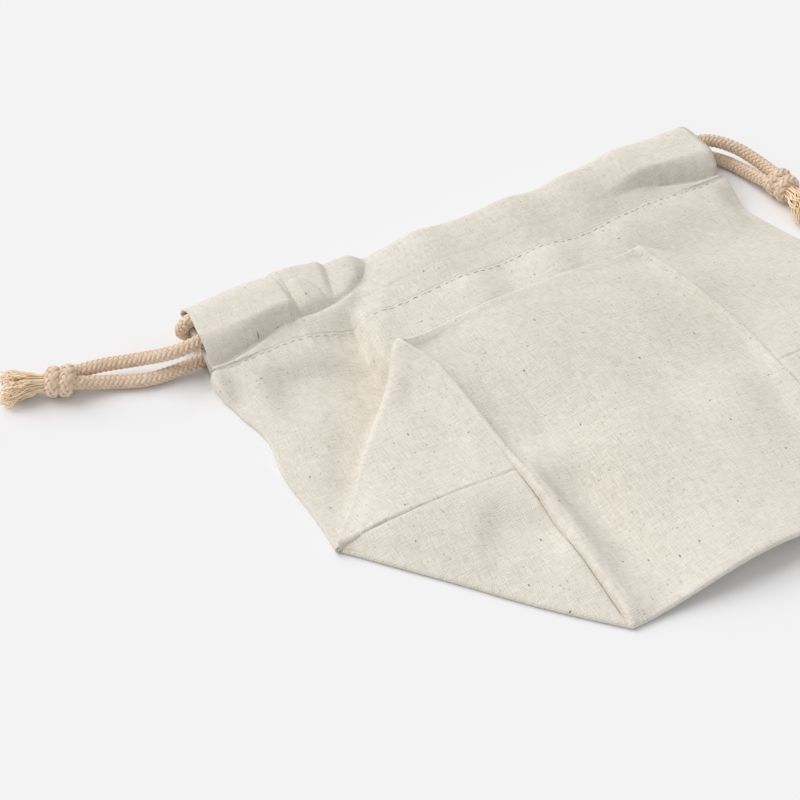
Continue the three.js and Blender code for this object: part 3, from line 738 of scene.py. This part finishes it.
def flat_front(across, down):
    """The front without its gathers and folds."""
    dome = rise(inset(across), *DOME_ACROSS)
    fall = 1 - DOME_FALL * rise(down, COLLAR_END, FOLD_LINE)
    collar = COLLAR_UP * (1 - dome) * (1 - rise(down, CASING_DEPTH, COLLAR_END))
    return CAD_CLOTH / 2 + EDGE_FOLD + collar + DOME_UP * dome * fall


def front_height(across, down):
    """The front with its gathers."""
    return flat_front(across, down) + gathers(across, down, GATHERS + SOFT_GATHERS)


def stacked(across, height):
    """The height of a folded layer, pressed thin at the tips."""
    return CAD_CLOTH / 2 + (height - CAD_CLOTH / 2) * mix(TIP_THIN, 1, rise(inset(across), *TIP_REACH))


def return_height(across, down):
    """The front's return, which lies on it."""
    return stacked(across, front_height(across, down) + LAYER)


# The casing's top at its flat ends and in its sunken middle, which is lowest beside the pleat and
# slopes down to the front. A soft valley runs from there into the front.
TOP_UP = (16.3, 13.2)
TOP_BEYOND = 3.4
TOP_BEYOND_FROM = (68, 98)
SUNKEN_ACROSS = (PLEAT_TOP - 4, PLEAT_TOP + 1, 175, 205)
SLOPE_DOWN = (8, 33)
SOFT_VALLEY = {"top": 76.5, "slant": 0.62, "left": 4.5, "right": 7.5, "deep": 1.6, "down": (-3, 5, 22, 36)}


def sunken(across):
    """1 over the middle of the casing, between its flat ends."""
    return plateau(across, *SUNKEN_ACROSS)


def sunken_top(across):
    """How high the top of that middle lies."""
    return TOP_UP[1] + TOP_BEYOND * rise(across, *TOP_BEYOND_FROM)


def soft_valley(across, down):
    """The valley between the lobes and the gathers on their right."""
    off = across - SOFT_VALLEY["top"] + SOFT_VALLEY["slant"] * down
    half = np.where(off < 0, SOFT_VALLEY["left"], SOFT_VALLEY["right"])
    return SOFT_VALLEY["deep"] * hump(off, 0, half) * plateau(down, *SOFT_VALLEY["down"])


# The front's sides thin out to the two layers of the folded edge, and it lies on the back at least.
# Its folds end where the base covers it, and the stitching puckers it.
SIDE_THIN = 1.4
SIDE_THIN_REACH = 11
SIDE_THIN_DOWN = (29, 43)
LEAST_UP = 1.5
CALM_EDGE = 7
COVERED_DOWN = (46, 55)
COVERED_SLANT = (110, 120)
PUCKER = {"height": 0.25, "per_mm": 1.05, "stray": 1.6, "stray_mm": 7, "below": 1.5, "half": 3.0}


def panel_front(across, down):
    """The front as it shows below the casing."""
    shown = 1 - rise(down, *COVERED_DOWN) * rise(across + down, *COVERED_SLANT)
    waves = np.sin(PUCKER["per_mm"] * across + stray(PUCKER, across))
    pucker = PUCKER["height"] * waves * hump(down, CASING_DEPTH + PUCKER["below"], PUCKER["half"])
    detail = folds(across, down, FRONT_FOLDS) + unevenness(across, down) + pucker
    collar = flat_front(across, down) - CAD_CLOTH / 2 - SIDE_THIN
    thin = collar * (1 - rise(inset(across), 0, SIDE_THIN_REACH)) * rise(down, *SIDE_THIN_DOWN)
    calm = rise(inset(across), 0, CALM_EDGE)
    return np.maximum(LEAST_UP, front_height(across, down) - thin + shown * calm * detail)


def shown_front(across, down):
    """The front with the slope up to the casing, which ends a little below the seam."""
    panel = panel_front(across, down)
    slope = sunken(across) * (1 - rise(down, *SLOPE_DOWN))
    return panel + slope * (sunken_top(across) - panel) - soft_valley(across, down)


# The seam across a boxed corner: above the side seam it is the crest of a ridge, behind which the base
# drops, and below it the base rolls up out of a ditch and sinks to a hollow. The right corner lies
# flatter than the left one.
RIDGE_TOP = 5.0
RIDGE_LOW = 2.4
RIDGE_DROP = 7.0
RIDGE_TURNS = (FOLD_LINE - 12, FOLD_LINE + 8)
CREST_UP = 0.9
CREST_HALF = 1.0
SEAM_STEP = 3.3
SEAM_STEP_ACROSS = (0.2, 2.6)
SEAM_STEP_REACH = 16
SEAM_ROLL = 1.8
SEAM_ROLL_ACROSS = (-0.5, 0.9)
SEAM_ROLL_TOP = 3
SEAM_ROLL_REACH = 4.5
SEAM_DITCH = 1.5
SEAM_DITCH_HALF = 0.8
HOLLOW_DEEP = 3.6
HOLLOW_AT = 10
HOLLOW_HALF = 8
HOLLOW_ACROSS = (2, 8)
HOLLOW_DRIFT = 0.2
HOLLOW_STARTS = (FOLD_LINE - 3, FOLD_LINE + 20)
HOLLOW_FADES = (130, 176)
HOLLOW_LEFT_OVER = 0.35
RIGHT_CALM = 0.45


def base_hollow(past, down):
    """The hollow in the base beside the lower part of the seam."""
    middle = HOLLOW_AT + HOLLOW_DRIFT * (down - HOLLOW_FADES[0])
    deep = HOLLOW_DEEP * mix(1, HOLLOW_LEFT_OVER, rise(down, *HOLLOW_FADES)) * rise(down, *HOLLOW_STARTS)
    return deep * hump(past, middle, HOLLOW_HALF) * rise(past, *HOLLOW_ACROSS)


def ridge_height(across, down):
    """The ridge of a boxed corner, and what its seam and the hollow beyond add to it."""
    past = inset(across) - HALF_BASE
    beyond = np.maximum(past, 0)
    top = mix(RIDGE_TOP, RIDGE_LOW, rise(down, FOLD_LINE - HALF_BASE, FOLD_LINE))
    slope = np.where(past < 0, 1 + past / HALF_BASE, np.exp(-beyond / RIDGE_DROP))
    step = SEAM_STEP * rise(past, *SEAM_STEP_ACROSS) * np.exp(-beyond / SEAM_STEP_REACH)
    crest = CREST_UP * hump(past, 0, CREST_HALF) - step
    level = np.exp(-np.maximum(past - SEAM_ROLL_TOP, 0) / SEAM_ROLL_REACH)
    roll = SEAM_ROLL * rise(past, *SEAM_ROLL_ACROSS) * level
    ditch = SEAM_DITCH * hump(past, -SEAM_DITCH_HALF, SEAM_DITCH_HALF)
    seam = mix(crest, roll - ditch, rise(down, *RIDGE_TURNS)) - base_hollow(past, down)
    calm = np.where(np.asarray(across) > BAG_WIDTH / 2, RIGHT_CALM, 1.0)
    return calm * slope * top, calm * seam


# Down each side the front and back of the cloth are sewn together, and the upper laps the lower with a
# groove along it. The lap is highest near the tip, and lower and softer towards the ridge, where it ends.
SIDE_LIP = 0.8
SIDE_LIP_STARTS = (0, 12)
SIDE_LIP_SINKS = (6, 40)
SIDE_LIP_LEFT_OVER = 0.3
SIDE_LIP_ENDS = (HALF_BASE - 2, HALF_BASE)
LAP_SLANT = 0.02
LAP_SOFTEST = 0.25
LAP_SOFTER = 0.012
LAP_SHARPEST = 0.02
LAP_REACH = 14
GROOVE = 0.6
GROOVE_AT = 2.2
GROOVE_HALF = 2


def side_seam(across, down):
    """What the side seam adds to the base's folded corner."""
    reach = np.minimum(inset(across), HALF_BASE)
    size = SIDE_LIP * rise(reach, *SIDE_LIP_STARTS) * (1 - rise(reach, *SIDE_LIP_ENDS))
    size = size * mix(1, SIDE_LIP_LEFT_OVER, rise(reach, *SIDE_LIP_SINKS))
    past = down - FOLD_LINE - LAP_SLANT * reach
    soft = np.minimum(LAP_SOFTEST, LAP_SOFTER * reach + LAP_SHARPEST)
    lap = (1 - rise(past, -soft, soft)) * np.exp(np.minimum(past, 0) / LAP_REACH)
    return size * (lap - GROOVE * hump(past, GROOVE_AT * soft, GROOVE_HALF * soft))


# The base swells a little between its corners, and rolls down to the back at its lower edge. Its
# details fade out towards its edges, and its waviness isn't the front's.
BASE_ROLL = 1.35
BASE_SWELL = 2.5
BASE_SWELL_ACROSS = (HALF_BASE + 12, HALF_BASE + 40)
BASE_SWELL_HALF = 45
BASE_CALM_EDGE = (0, 9)
BASE_SEAM_EDGE = (-0.5, 3)
BASE_WAVES_SHIFT = (31, 17)


def base_height(across, down):
    """The folded-up base with its corners, the top layer of the stack."""
    ridge, seam = ridge_height(across, down)
    puff = BASE_SWELL * rise(inset(across), *BASE_SWELL_ACROSS) * hump(down, FOLD_LINE, BASE_SWELL_HALF)
    swell = ridge + puff
    upper = stacked(across, front_height(across, down) + 2 * LAYER) + swell
    reach = np.maximum(1, np.minimum(inset(across), HALF_BASE))
    share = np.clip((down - FOLD_LINE) / reach, 0, 1) ** BASE_ROLL
    low = back_height(across, FOLD_LINE + reach) + SIDE_THIN
    middle = stacked(across, front_height(across, FOLD_LINE) + 2 * LAYER)
    lower = mix(middle, low, share) + swell * (1 - share)
    waves = unevenness(across + BASE_WAVES_SHIFT[0], down + BASE_WAVES_SHIFT[1])
    detail = folds(across, down, BASE_FOLDS) + waves + side_seam(across, down)
    from_edge = np.minimum(reach - np.abs(down - FOLD_LINE), reach)
    plain = np.where(down <= FOLD_LINE, upper, lower)
    return plain + seam * rise(from_edge, *BASE_SEAM_EDGE) + detail * rise(from_edge, *BASE_CALM_EDGE)


# The cloth's mesh is close where it shows most, at the left of the casing and on the boxed corner.
def spread(bands):
    """Values from 0 up, by bands of (up to, step)."""
    values = [0.0]
    for end, step in bands:
        count = int(round((end - values[-1]) / step))
        values += list(np.linspace(values[-1], end, count + 1)[1:])
    return np.array(values)


FRONT_COLUMNS = spread([(34, 1.4), (46, 0.5), (78, 0.7), (BAG_WIDTH, 2.4)]) / BAG_WIDTH
HIDDEN_COLUMNS = np.linspace(0, 1, 25)
HALF_COLUMNS = spread([(3, 0.4), (8, 0.6), (30, 1.3), (BASE_WIDTH / 2, 1.9)])
BASE_COLUMNS = np.concatenate([HALF_COLUMNS, (BASE_WIDTH - HALF_COLUMNS[:-1])[::-1]]) / BASE_WIDTH
PANEL_DOWN = CASING_DEPTH + spread([(40, 1.2), (FOLD_LINE - CASING_DEPTH, 2.0)])
SIDE_SHARES = np.linspace(0, 1, 11)[1:-1]
FLAP_REACH = spread([(57, 1.5), (62, 0.7), (HALF_BASE, 0.3)])[1:]
FLAP_FOLD_SHARES = np.linspace(0, 1, 7)
FLAP_SHARES = np.concatenate([
    np.linspace(-1, -0.04, 34), np.linspace(-0.02, 0.07, 16), np.linspace(0.1, 1, 34),
])
# What a fold and a side take up of the flat cloth, and where the back lies on it.
FOLD_TAKES = 3.0
SIDE_TAKES = 5.0
BACK_FLAT = 300.0
# Folds at the corners point outward as much across as down, and turn straight this far in from them.
OUT_AT_CORNER = np.sqrt(0.5)
CORNER_REACH = 8
# The front's lowest rows bend round into its return. The sides and the back lie a little lower there.
BEND_DROP = 0.8
TIP_RISE_POWER = 1.5
# Points of two rows that lie at the same share of their rows are joined by quads.
SAME_SHARE = 1e-6


class Cloth:
    """A sheet grown row by row, with the place of each point on the flat cloth."""

    def __init__(self):
        self.points = []
        self.flat = []
        self.faces = []
        self.count = 0

    def row(self, points, flat):
        """Adds a row of points and gives their numbers."""
        self.points.append(points)
        self.flat.append(np.stack(np.broadcast_arrays(*flat), axis=-1).astype(float))
        self.count += len(points)
        return np.arange(self.count - len(points), self.count)

    def bag_row(self, columns, front, back_across, back_down, right, left):
        """A row round the bag. Each side takes in the ends of the front and the back."""
        back_points = place(back_across, back_down, back_height(back_across, back_down))
        front = self.row(*front)
        right = self.row(*right)
        back = self.row(back_points, (back_across + BACK_FLAT, back_down))
        left = self.row(*left)
        return {
            "columns": columns,
            "front": front,
            "right": np.concatenate([[front[-1]], right, [back[-1]]]),
            "back": back,
            "left": np.concatenate([[back[0]], left[::-1], [front[0]]]),
        }

    def join(self, upper, lower, upper_shares=None, lower_shares=None):
        """Faces between two rows, which may have different numbers of points."""
        a = np.linspace(0, 1, len(upper)) if upper_shares is None else upper_shares
        b = np.linspace(0, 1, len(lower)) if lower_shares is None else lower_shares
        i = j = 0
        while i + 1 < len(upper) or j + 1 < len(lower):
            next_a = a[i + 1] if i + 1 < len(upper) else np.inf
            next_b = b[j + 1] if j + 1 < len(lower) else np.inf
            if abs(next_a - next_b) < SAME_SHARE:
                self.faces.append((upper[i], lower[j], lower[j + 1], upper[i + 1]))
                i, j = i + 1, j + 1
            elif next_a < next_b:
                self.faces.append((upper[i], lower[j], upper[i + 1]))
                i += 1
            else:
                self.faces.append((upper[i], lower[j], lower[j + 1]))
                j += 1


def fold_between(across, down, top, low, share, out_across, out_down):
    """A rounded fold between two layers, pushed out along (out_across, out_down)."""
    bulge = np.minimum(np.abs(top - low) / 2, FOLD_BULGE) * np.sin(np.pi * share)
    up = (top + low) / 2 + (top - low) / 2 * np.cos(np.pi * share)
    return place(across + bulge * out_across, down + bulge * out_down, up)


def side_line(direction, down, tip=0.0):
    """Points round a side of the bag from the front to the back, and their flat places."""
    across = np.full_like(SIDE_SHARES, 0.0 if direction < 0 else BAG_WIDTH)
    downs = np.full_like(SIDE_SHARES, down)
    front = shown_front(across, downs) + tip * LAYER * TIP_THIN
    line = fold_between(across, downs, front, back_height(across, downs), SIDE_SHARES, direction, 0.0)
    line[:, 2] += TIP_RISE * tip ** TIP_RISE_POWER * np.sin(np.pi * SIDE_SHARES) * MM
    return line, (across + direction * SIDE_TAKES * SIDE_SHARES, downs)


def flap_line(across, reach, out_across):
    """Points from the return over the folded-up base to the back, and their flat places."""
    out_down = np.sqrt(1 - out_across ** 2)
    share = FLAP_FOLD_SHARES
    a, top, low = (np.full_like(share, value) for value in (across, FOLD_LINE - reach, FOLD_LINE + reach))
    first = fold_between(a, top, return_height(a, top), base_height(a, top), share, out_across, -out_down)
    last = fold_between(a, low, base_height(a, low), back_height(a, low), share, out_across, out_down)
    down = FOLD_LINE + reach * FLAP_SHARES
    over = place(across, down, base_height(np.full_like(down, across), down))
    takes = FOLD_TAKES * share
    flat_down = np.concatenate([(top - FOLD_TAKES + takes)[1:-1], down, (low + takes)[1:-1]])
    return np.vstack([first[1:-1], over, last[1:-1]]), (across, flat_down)


cloth = Cloth()
rows = []
front_across = FRONT_COLUMNS * BAG_WIDTH
back_across = HIDDEN_COLUMNS * BAG_WIDTH
for down in PANEL_DOWN:
    front = place(front_across, down, shown_front(front_across, np.full_like(front_across, down)))
    rows.append(cloth.bag_row(
        FRONT_COLUMNS, (front, (front_across, down)), back_across, down,
        side_line(1, down), side_line(-1, down),
    ))
for bend in (0.0, 1.0):
    down = FOLD_LINE + LAYER / 2 * (1 - bend)
    up = front_height(back_across, FOLD_LINE) + LAYER / 2 * (1 + bend)
    lower = FOLD_LINE + BEND_DROP * bend
    tip = (bend + 1) / 2
    rows.append(cloth.bag_row(
        HIDDEN_COLUMNS, (place(back_across, down, up), (back_across, down)), back_across, lower,
        side_line(1, lower, tip), side_line(-1, lower, tip),
    ))
for reach in FLAP_REACH:
    across = mix(reach, BAG_WIDTH - reach, HIDDEN_COLUMNS)
    top, low = FOLD_LINE - reach, FOLD_LINE + reach
    front = place(across, top, return_height(across, top))
    rows.append(cloth.bag_row(
        HIDDEN_COLUMNS, (front, (across, low)), across, low,
        flap_line(BAG_WIDTH - reach, reach, OUT_AT_CORNER), flap_line(reach, reach, -OUT_AT_CORNER),
    ))
for upper, lower in zip(rows, rows[1:]):
    cloth.join(upper["front"], lower["front"], upper["columns"], lower["columns"])
    cloth.join(upper["right"], lower["right"])
    cloth.join(upper["back"][::-1], lower["back"][::-1])
    cloth.join(upper["left"], lower["left"])

across = mix(HALF_BASE, BAG_WIDTH - HALF_BASE, BASE_COLUMNS[1:-1])
to_corner = 1 - rise(inset(across) - HALF_BASE, 0, CORNER_REACH)
outward = np.sign(BASE_COLUMNS[1:-1] - 0.5) * OUT_AT_CORNER * to_corner
lines = [flap_line(at, HALF_BASE, out) for at, out in zip(across, outward)]
base_rows = [(rows[-1]["front"], HIDDEN_COLUMNS)]
for step, (left, right) in enumerate(zip(rows[-1]["left"][-2:0:-1], rows[-1]["right"][1:-1])):
    points = np.array([line[step] for line, _ in lines])
    flat_down = np.array([flat[1][step] for _, flat in lines])
    inner = cloth.row(points, (across, flat_down))
    base_rows.append((np.concatenate([[left], inner, [right]]), BASE_COLUMNS))
base_rows.append((rows[-1]["back"], HIDDEN_COLUMNS))
for (upper, upper_shares), (lower, lower_shares) in zip(base_rows, base_rows[1:]):
    cloth.join(upper, lower, upper_shares, lower_shares)

# The casing: a tunnel in front and one behind, each the mouth's edge turned in and stitched down. The
# pairs are for the flat ends and the middle: the folded edge, the hem inside, the rounded nose, and at
# the outside the wall that drops to a valley above the stitching.
CORD_ROOM = 0.6
TUNNEL = CORD_DIAMETER / MM + 2 * CORD_ROOM + CAD_CLOTH
TUNNEL_END = 21.4
STITCHED = CAD_CLOTH + 0.3
BACK_SQUEEZE = 0.89
BACK_CLOSES = (TUNNEL_END, CASING_DEPTH - 1)
FOLD_UP = (11.8, 10.6)
HEM_UP = (9.3, 7.4)
NOSE = (8.0, 5.5)
LEFT_END = 30
LEFT_END_FOLD = 2.2
LEFT_END_NOSE = 2.6
PANEL_FROM = 20
WALL = (7.0, 4.0)
WALL_ACROSS = (8, 28)
WALL_BEND = 1.8
VALLEY_DOWN = (26.0, 21.4)
VALLEY_ACROSS = (4, 36)
VALLEY_DEEP = 2.3
VALLEY_BELOW = 0.2
VALLEY_HALF = 1.0
VALLEY_FADE = (21.6, 24.0)
BANK = 0.3
BANK_BELOW = 3.0
BANK_HALF = 1.6
CASING_CALM_EDGE = 7
CASING_WAVES_FROM = (2, 6)
GATHERS_FROM = (-2, 5)
LOBES_FROM = (-2.5, 2)


def front_casing(across, down, side):
    """Points of the front casing: side is 1 on its outside and -1 on the turned-in hem."""
    middle = sunken(across)
    fold, hem, nose = (mix(ends, sunk, middle) for ends, sunk in (FOLD_UP, HEM_UP, NOSE))
    left_end = 1 - rise(across, 0, LEFT_END)
    fold = fold - LEFT_END_FOLD * left_end
    nose = nose + LEFT_END_NOSE * left_end
    rounding = np.sqrt(1 - np.maximum(1 - down / nose, 0) ** 2)
    if side < 0:
        sewn = shown_front(across, np.full_like(across, CASING_DEPTH)) - STITCHED
        return place(across, down, mix(mix(fold, hem, rounding), sewn, rise(down, TUNNEL_END, CASING_DEPTH)))
    valley = mix(*VALLEY_DOWN, rise(inset(across), *VALLEY_ACROSS))
    wall = mix(*WALL, rise(inset(across), *WALL_ACROSS))
    steep = np.clip((down - valley + wall) / wall, 0, 1)
    fall = mix(steep ** WALL_BEND, rise(down, *SLOPE_DOWN), middle)
    calm = rise(down, *CASING_WAVES_FROM) * rise(inset(across), 0, CASING_CALM_EDGE)
    swell = gathers(across, down, GATHERS) * (1 - fall) * rise(down, *GATHERS_FROM)
    top = mix(TOP_UP[0], sunken_top(across), middle)
    tunnel = mix(fold, top, rounding) + calm * unevenness(across, down) + swell
    bank = BANK * hump(down, valley + BANK_BELOW, BANK_HALF)
    trench = hump(down, valley + VALLEY_BELOW, VALLEY_HALF) - bank
    crease = VALLEY_DEEP * (1 - middle) * trench * rise(valley, *VALLEY_FADE)
    panel = panel_front(across, np.maximum(down, PANEL_FROM))
    height = mix(tunnel, panel, fall) - crease - soft_valley(across, down)
    bulges = (lobes(across, down, height) + pleat_lip(across, down)) * rise(down, *LOBES_FROM)
    return place(across, down, height + bulges)


def back_casing(across, down, side):
    """Points of the back casing, a plain tunnel on the table that closes at the stitching."""
    squeeze = mix(1, BACK_SQUEEZE, sunken(across))
    half = TUNNEL / 2
    rounded = np.sqrt(np.maximum(half ** 2 - np.maximum(half - down, 0) ** 2, 0))
    closing = mix(half, STITCHED / 2, rise(down, *BACK_CLOSES))
    middle = CAD_CLOTH / 2 + squeeze * np.where(down < half, half, closing)
    return place(across, down, middle - side * squeeze * np.where(down < half, rounded, closing))


HEM_DOWN = [28, 24.5, TUNNEL_END, 12, 5]
MOUTH_ANGLES = np.linspace(0, np.pi, 12)[1:-1]
OUTER_FROM = 4.0
OUTER_DOWN = OUTER_FROM + spread([(CASING_DEPTH - OUTER_FROM - 0.4, 0.62)])
BACK_OUTER_DOWN = [5, 9, 13, 17, TUNNEL_END, 23.5, 26]
# Columns near the pleat lean with it. The cloth's pattern is measured a third of the way across, from
# the hem's edge on.
LEAN_AT = 41
LEAN_HALF = 9
LEAN_FADE = (20, CASING_DEPTH)
HEM_FLAT = -80.0


def casing(columns, outer_down, surface, sewn_to, flat_across):
    """One casing, from its hem round the folded edge to the row that it is sewn to."""
    places = [(down, -1) for down in HEM_DOWN]
    places += [(TUNNEL / 2 * (1 - np.sin(angle)), -np.sign(np.cos(angle))) for angle in MOUTH_ANGLES]
    places += [(down, 1) for down in outer_down]
    near_pleat = hump(columns * BAG_WIDTH, LEAN_AT, LEAN_HALF)
    measured = len(columns) // 3
    made = []
    flat_down = HEM_FLAT
    for down, side in places:
        across = columns * BAG_WIDTH - PLEAT_SLANT * down * (1 - rise(down, *LEAN_FADE)) * near_pleat
        points = surface(across, np.full_like(across, down), side)
        if made:
            flat_down += np.linalg.norm(points[measured] - before) / MM
        before = points[measured]
        made.append(cloth.row(points, (across + flat_across, flat_down)))
    made.append(sewn_to)
    for upper, lower in zip(made, made[1:]):
        cloth.join(upper, lower, columns, columns)


casing(FRONT_COLUMNS, OUTER_DOWN, front_casing, rows[0]["front"], 0.0)
casing(HIDDEN_COLUMNS[::-1], BACK_OUTER_DOWN, back_casing, rows[0]["back"][::-1], BACK_FLAT)

# Natural linen: matt oatmeal, with an open plain weave, slubs along both threads, a faint mottle, and
# dark flecks of bark spun into the yarn. The weave is drawn a little coarser than it is, so it shows.
# The tones are the shade, the light and the main one, with their places on the ramp.
LINEN_TONES = ((0.0, "#CFC4B4"), (1.0, "#F5F0E8"), (0.5, "#E9E2D6"))
LINEN_FLECK = "#6B5A49"
WEAVE_MM = 0.62
WEAVE_TONE = 0.22
WOBBLE_MM = 2.2
WOBBLES_PER_MM = 0.22
SLUB_WIDTH_MM = 0.55
SLUB_LENGTH_MM = 5.0
SLUB_RELIEF = 0.7
LINEN_MOTTLE_MM = 38.0
LINEN_MOTTLE_TONE = 0.45
LINEN_TONE_RANGE = (0.8, 1.84)
LINEN_RELIEF_MM = 0.18
# Flecks: how many millimetres apart, stretched along one thread, how wide as a share of that, the share
# that shows, and how dark. The inner part of a fleck is fully dark.
FLECKS = [
    (5.0, (1.0, 0.55, 1), 0.075, 0.5, 0.8),
    (4.2, (0.45, 1.0, 1), 0.07, 0.45, 0.7),
    (1.7, (0.8, 0.55, 1), 0.16, 0.3, 0.42),
    (1.5, (0.5, 0.9, 1), 0.16, 0.3, 0.32),
]
FLECK_INNER = 0.4

linen, tree = blank_material("natural_linen")
linen_uv = add_node(tree, "ShaderNodeUVMap", uv_map="cloth")
wobble = add_node(tree, "ShaderNodeTexNoise", {"Vector": linen_uv, "Scale": WOBBLES_PER_MM, "Detail": 2.0})
uneven = add_node(tree, "ShaderNodeVectorMath", {
    0: wobble.outputs["Color"], 1: (WOBBLE_MM, WOBBLE_MM, 0), 2: linen_uv,
}, operation="MULTIPLY_ADD")
split = add_node(tree, "ShaderNodeSeparateXYZ", {0: uneven})
threads = []
slubs = []
for axis, stretch in (
    (0, (1 / SLUB_WIDTH_MM, 1 / SLUB_LENGTH_MM, 0)),
    (1, (1 / SLUB_LENGTH_MM, 1 / SLUB_WIDTH_MM, 0)),
):
    phase = add_node(tree, "ShaderNodeMath", {0: split.outputs[axis], 1: np.pi / WEAVE_MM},
                     operation="MULTIPLY")
    threads.append(add_node(tree, "ShaderNodeMath", {0: phase}, operation="SINE"))
    along = add_node(tree, "ShaderNodeVectorMath", {0: uneven, 1: stretch}, operation="MULTIPLY")
    slubs.append(add_node(tree, "ShaderNodeTexNoise", {
        "Vector": along, "Scale": 1.0, "Detail": 2.0, "Roughness": 0.6,
    }))
weave = add_node(tree, "ShaderNodeMath", dict(enumerate(threads)), operation="MULTIPLY")
weave_dome = add_node(tree, "ShaderNodeMath", {0: weave}, operation="ABSOLUTE")
slub = add_node(tree, "ShaderNodeMath", dict(enumerate(slubs)), operation="ADD")
mottle = add_node(tree, "ShaderNodeTexNoise", {
    "Vector": linen_uv, "Scale": 1 / LINEN_MOTTLE_MM, "Detail": 4.0,
})
tone = add_node(tree, "ShaderNodeMath", {0: mottle, 1: LINEN_MOTTLE_TONE, 2: slub}, operation="MULTIPLY_ADD")
tone = add_node(tree, "ShaderNodeMath", {0: weave_dome, 1: WEAVE_TONE, 2: tone}, operation="MULTIPLY_ADD")
tone = add_node(tree, "ShaderNodeMapRange", {
    "Value": tone, "From Min": LINEN_TONE_RANGE[0], "From Max": LINEN_TONE_RANGE[1],
    "To Min": 0.0, "To Max": 1.0,
})
colour = add_node(tree, "ShaderNodeValToRGB", {0: tone}, stops=LINEN_TONES)
for apart, stretch, wide, shown, dark in FLECKS:
    along = add_node(tree, "ShaderNodeVectorMath", {0: linen_uv, 1: stretch}, operation="MULTIPLY")
    cells = add_node(tree, "ShaderNodeTexVoronoi", {"Vector": along, "Scale": 1 / apart})
    spot = add_node(tree, "ShaderNodeMapRange", {
        "Value": cells.outputs["Distance"], "From Min": wide * FLECK_INNER, "From Max": wide,
        "To Min": dark, "To Max": 0.0,
    })
    chance = add_node(tree, "ShaderNodeSeparateXYZ", {0: cells.outputs["Color"]})
    kept = add_node(tree, "ShaderNodeMath", {0: chance, 1: shown}, operation="LESS_THAN")
    mask = add_node(tree, "ShaderNodeMath", {0: spot, 1: kept}, operation="MULTIPLY")
    colour = add_node(tree, "ShaderNodeMixRGB", {
        "Fac": mask, "Color1": colour, "Color2": linear(LINEN_FLECK),
    })
height = add_node(tree, "ShaderNodeMath", {0: slub, 1: SLUB_RELIEF, 2: weave_dome}, operation="MULTIPLY_ADD")
relief = add_node(tree, "ShaderNodeBump", {
    "Strength": 0.6, "Distance": LINEN_RELIEF_MM * MM, "Height": height,
})
shader = add_node(tree, "ShaderNodeBsdfPrincipled", {
    "Base Color": colour, "Normal": relief, "Roughness": 0.95, "Specular IOR Level": 0.15,
    "Sheen Weight": 0.15, "Sheen Roughness": 0.6,
})
add_node(tree, "ShaderNodeOutputMaterial", {"Surface": shader})

body = mesh_piece("linen_bag", linen, np.vstack(cloth.points), cloth.faces, np.vstack(cloth.flat) * MM)
thickness = body.modifiers.new("thickness", "SOLIDIFY")
thickness.thickness = LINEN_THICKNESS * MM
thickness.offset = 0.0
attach(body, "root")
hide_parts("bag_body")

# The casing is closed by one line of lockstitch in thread of the linen's colour, front and back. The
# stitches sink a little into the cloth at both their ends.
STITCH_LENGTH = 2.6
STITCH_PITCH = 3.3
STITCH_RADIUS = 0.16
STITCH_SIDES = 6
STITCH_DOWN = CASING_DEPTH + 1.0
STITCH_MARGIN = 4
STITCH_LIFT = np.array([-0.25, 0.08, 0.12, 0.12, 0.08, -0.25])
THREAD_COLOUR = "#E3DACB"

# Linen sewing thread: spun smooth and matt. It is so fine that its twist doesn't show, and one even
# colour is what the eye gets.
linen_thread, tree = blank_material("linen_thread")
shader = add_node(tree, "ShaderNodeBsdfPrincipled", {"Base Color": linear(THREAD_COLOUR), "Roughness": 0.8})
add_node(tree, "ShaderNodeOutputMaterial", {"Surface": shader})
stitches = []
for height, way in ((shown_front, 1), (back_height, -1)):
    for start in np.arange(STITCH_MARGIN, BAG_WIDTH - STITCH_MARGIN, STITCH_PITCH):
        across = np.linspace(start, start + STITCH_LENGTH, len(STITCH_LIFT))
        line = place(across, STITCH_DOWN, height(across, np.full_like(across, STITCH_DOWN)))
        line[:, 2] += way * (STITCH_LIFT + LINEN_THICKNESS / 2) * MM
        line[:, 2] = np.maximum(line[:, 2], STITCH_RADIUS * MM)
        stitches.append(plain_tube(line, STITCH_RADIUS * MM, STITCH_SIDES))
points, faces, _ = together(stitches)
stitching = mesh_piece("casing_stitching", linen_thread, points, faces)
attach(stitching, "root")

# The table is a plain pale sheet that runs on out of sight, and the light a large soft source behind
# the bag on the left, with as much again from all round.
TABLE_COLOUR = "#F2F2F3"
HALF_TABLE = 6.0
WORLD_LIGHT = 0.55
SUN_STRENGTH = 1.95
SUN_ANGLE = 55.0
SUN_FROM = Vector((-0.54, 0.72, 1.0))

table_paper, tree = blank_material("pale_table")
shader = add_node(tree, "ShaderNodeBsdfPrincipled", {
    "Base Color": linear(TABLE_COLOUR), "Roughness": 1.0, "Specular IOR Level": 0.0,
})
add_node(tree, "ShaderNodeOutputMaterial", {"Surface": shader})
corners = [(x * HALF_TABLE, y * HALF_TABLE, 0) for x, y in ((-1, -1), (1, -1), (1, 1), (-1, 1))]
table = mesh_piece("table", table_paper, corners, [(0, 1, 2, 3)])
sun_data = bpy.data.lights.new("soft_sun", "SUN")
sun_data.energy = SUN_STRENGTH
sun_data.angle = np.radians(SUN_ANGLE)
sun = bpy.data.objects.new("soft_sun", sun_data)
sun.rotation_euler = SUN_FROM.to_track_quat("Z", "Y").to_euler()
bpy.context.scene.collection.objects.link(sun)
world = bpy.data.worlds.new("studio")
world.use_nodes = True
world.node_tree.nodes["Background"].inputs["Color"].default_value = (1.0, 1.0, 1.0, 1.0)
world.node_tree.nodes["Background"].inputs["Strength"].default_value = WORLD_LIGHT
bpy.context.scene.world = world
bpy.context.scene.view_settings.view_transform = "Standard"
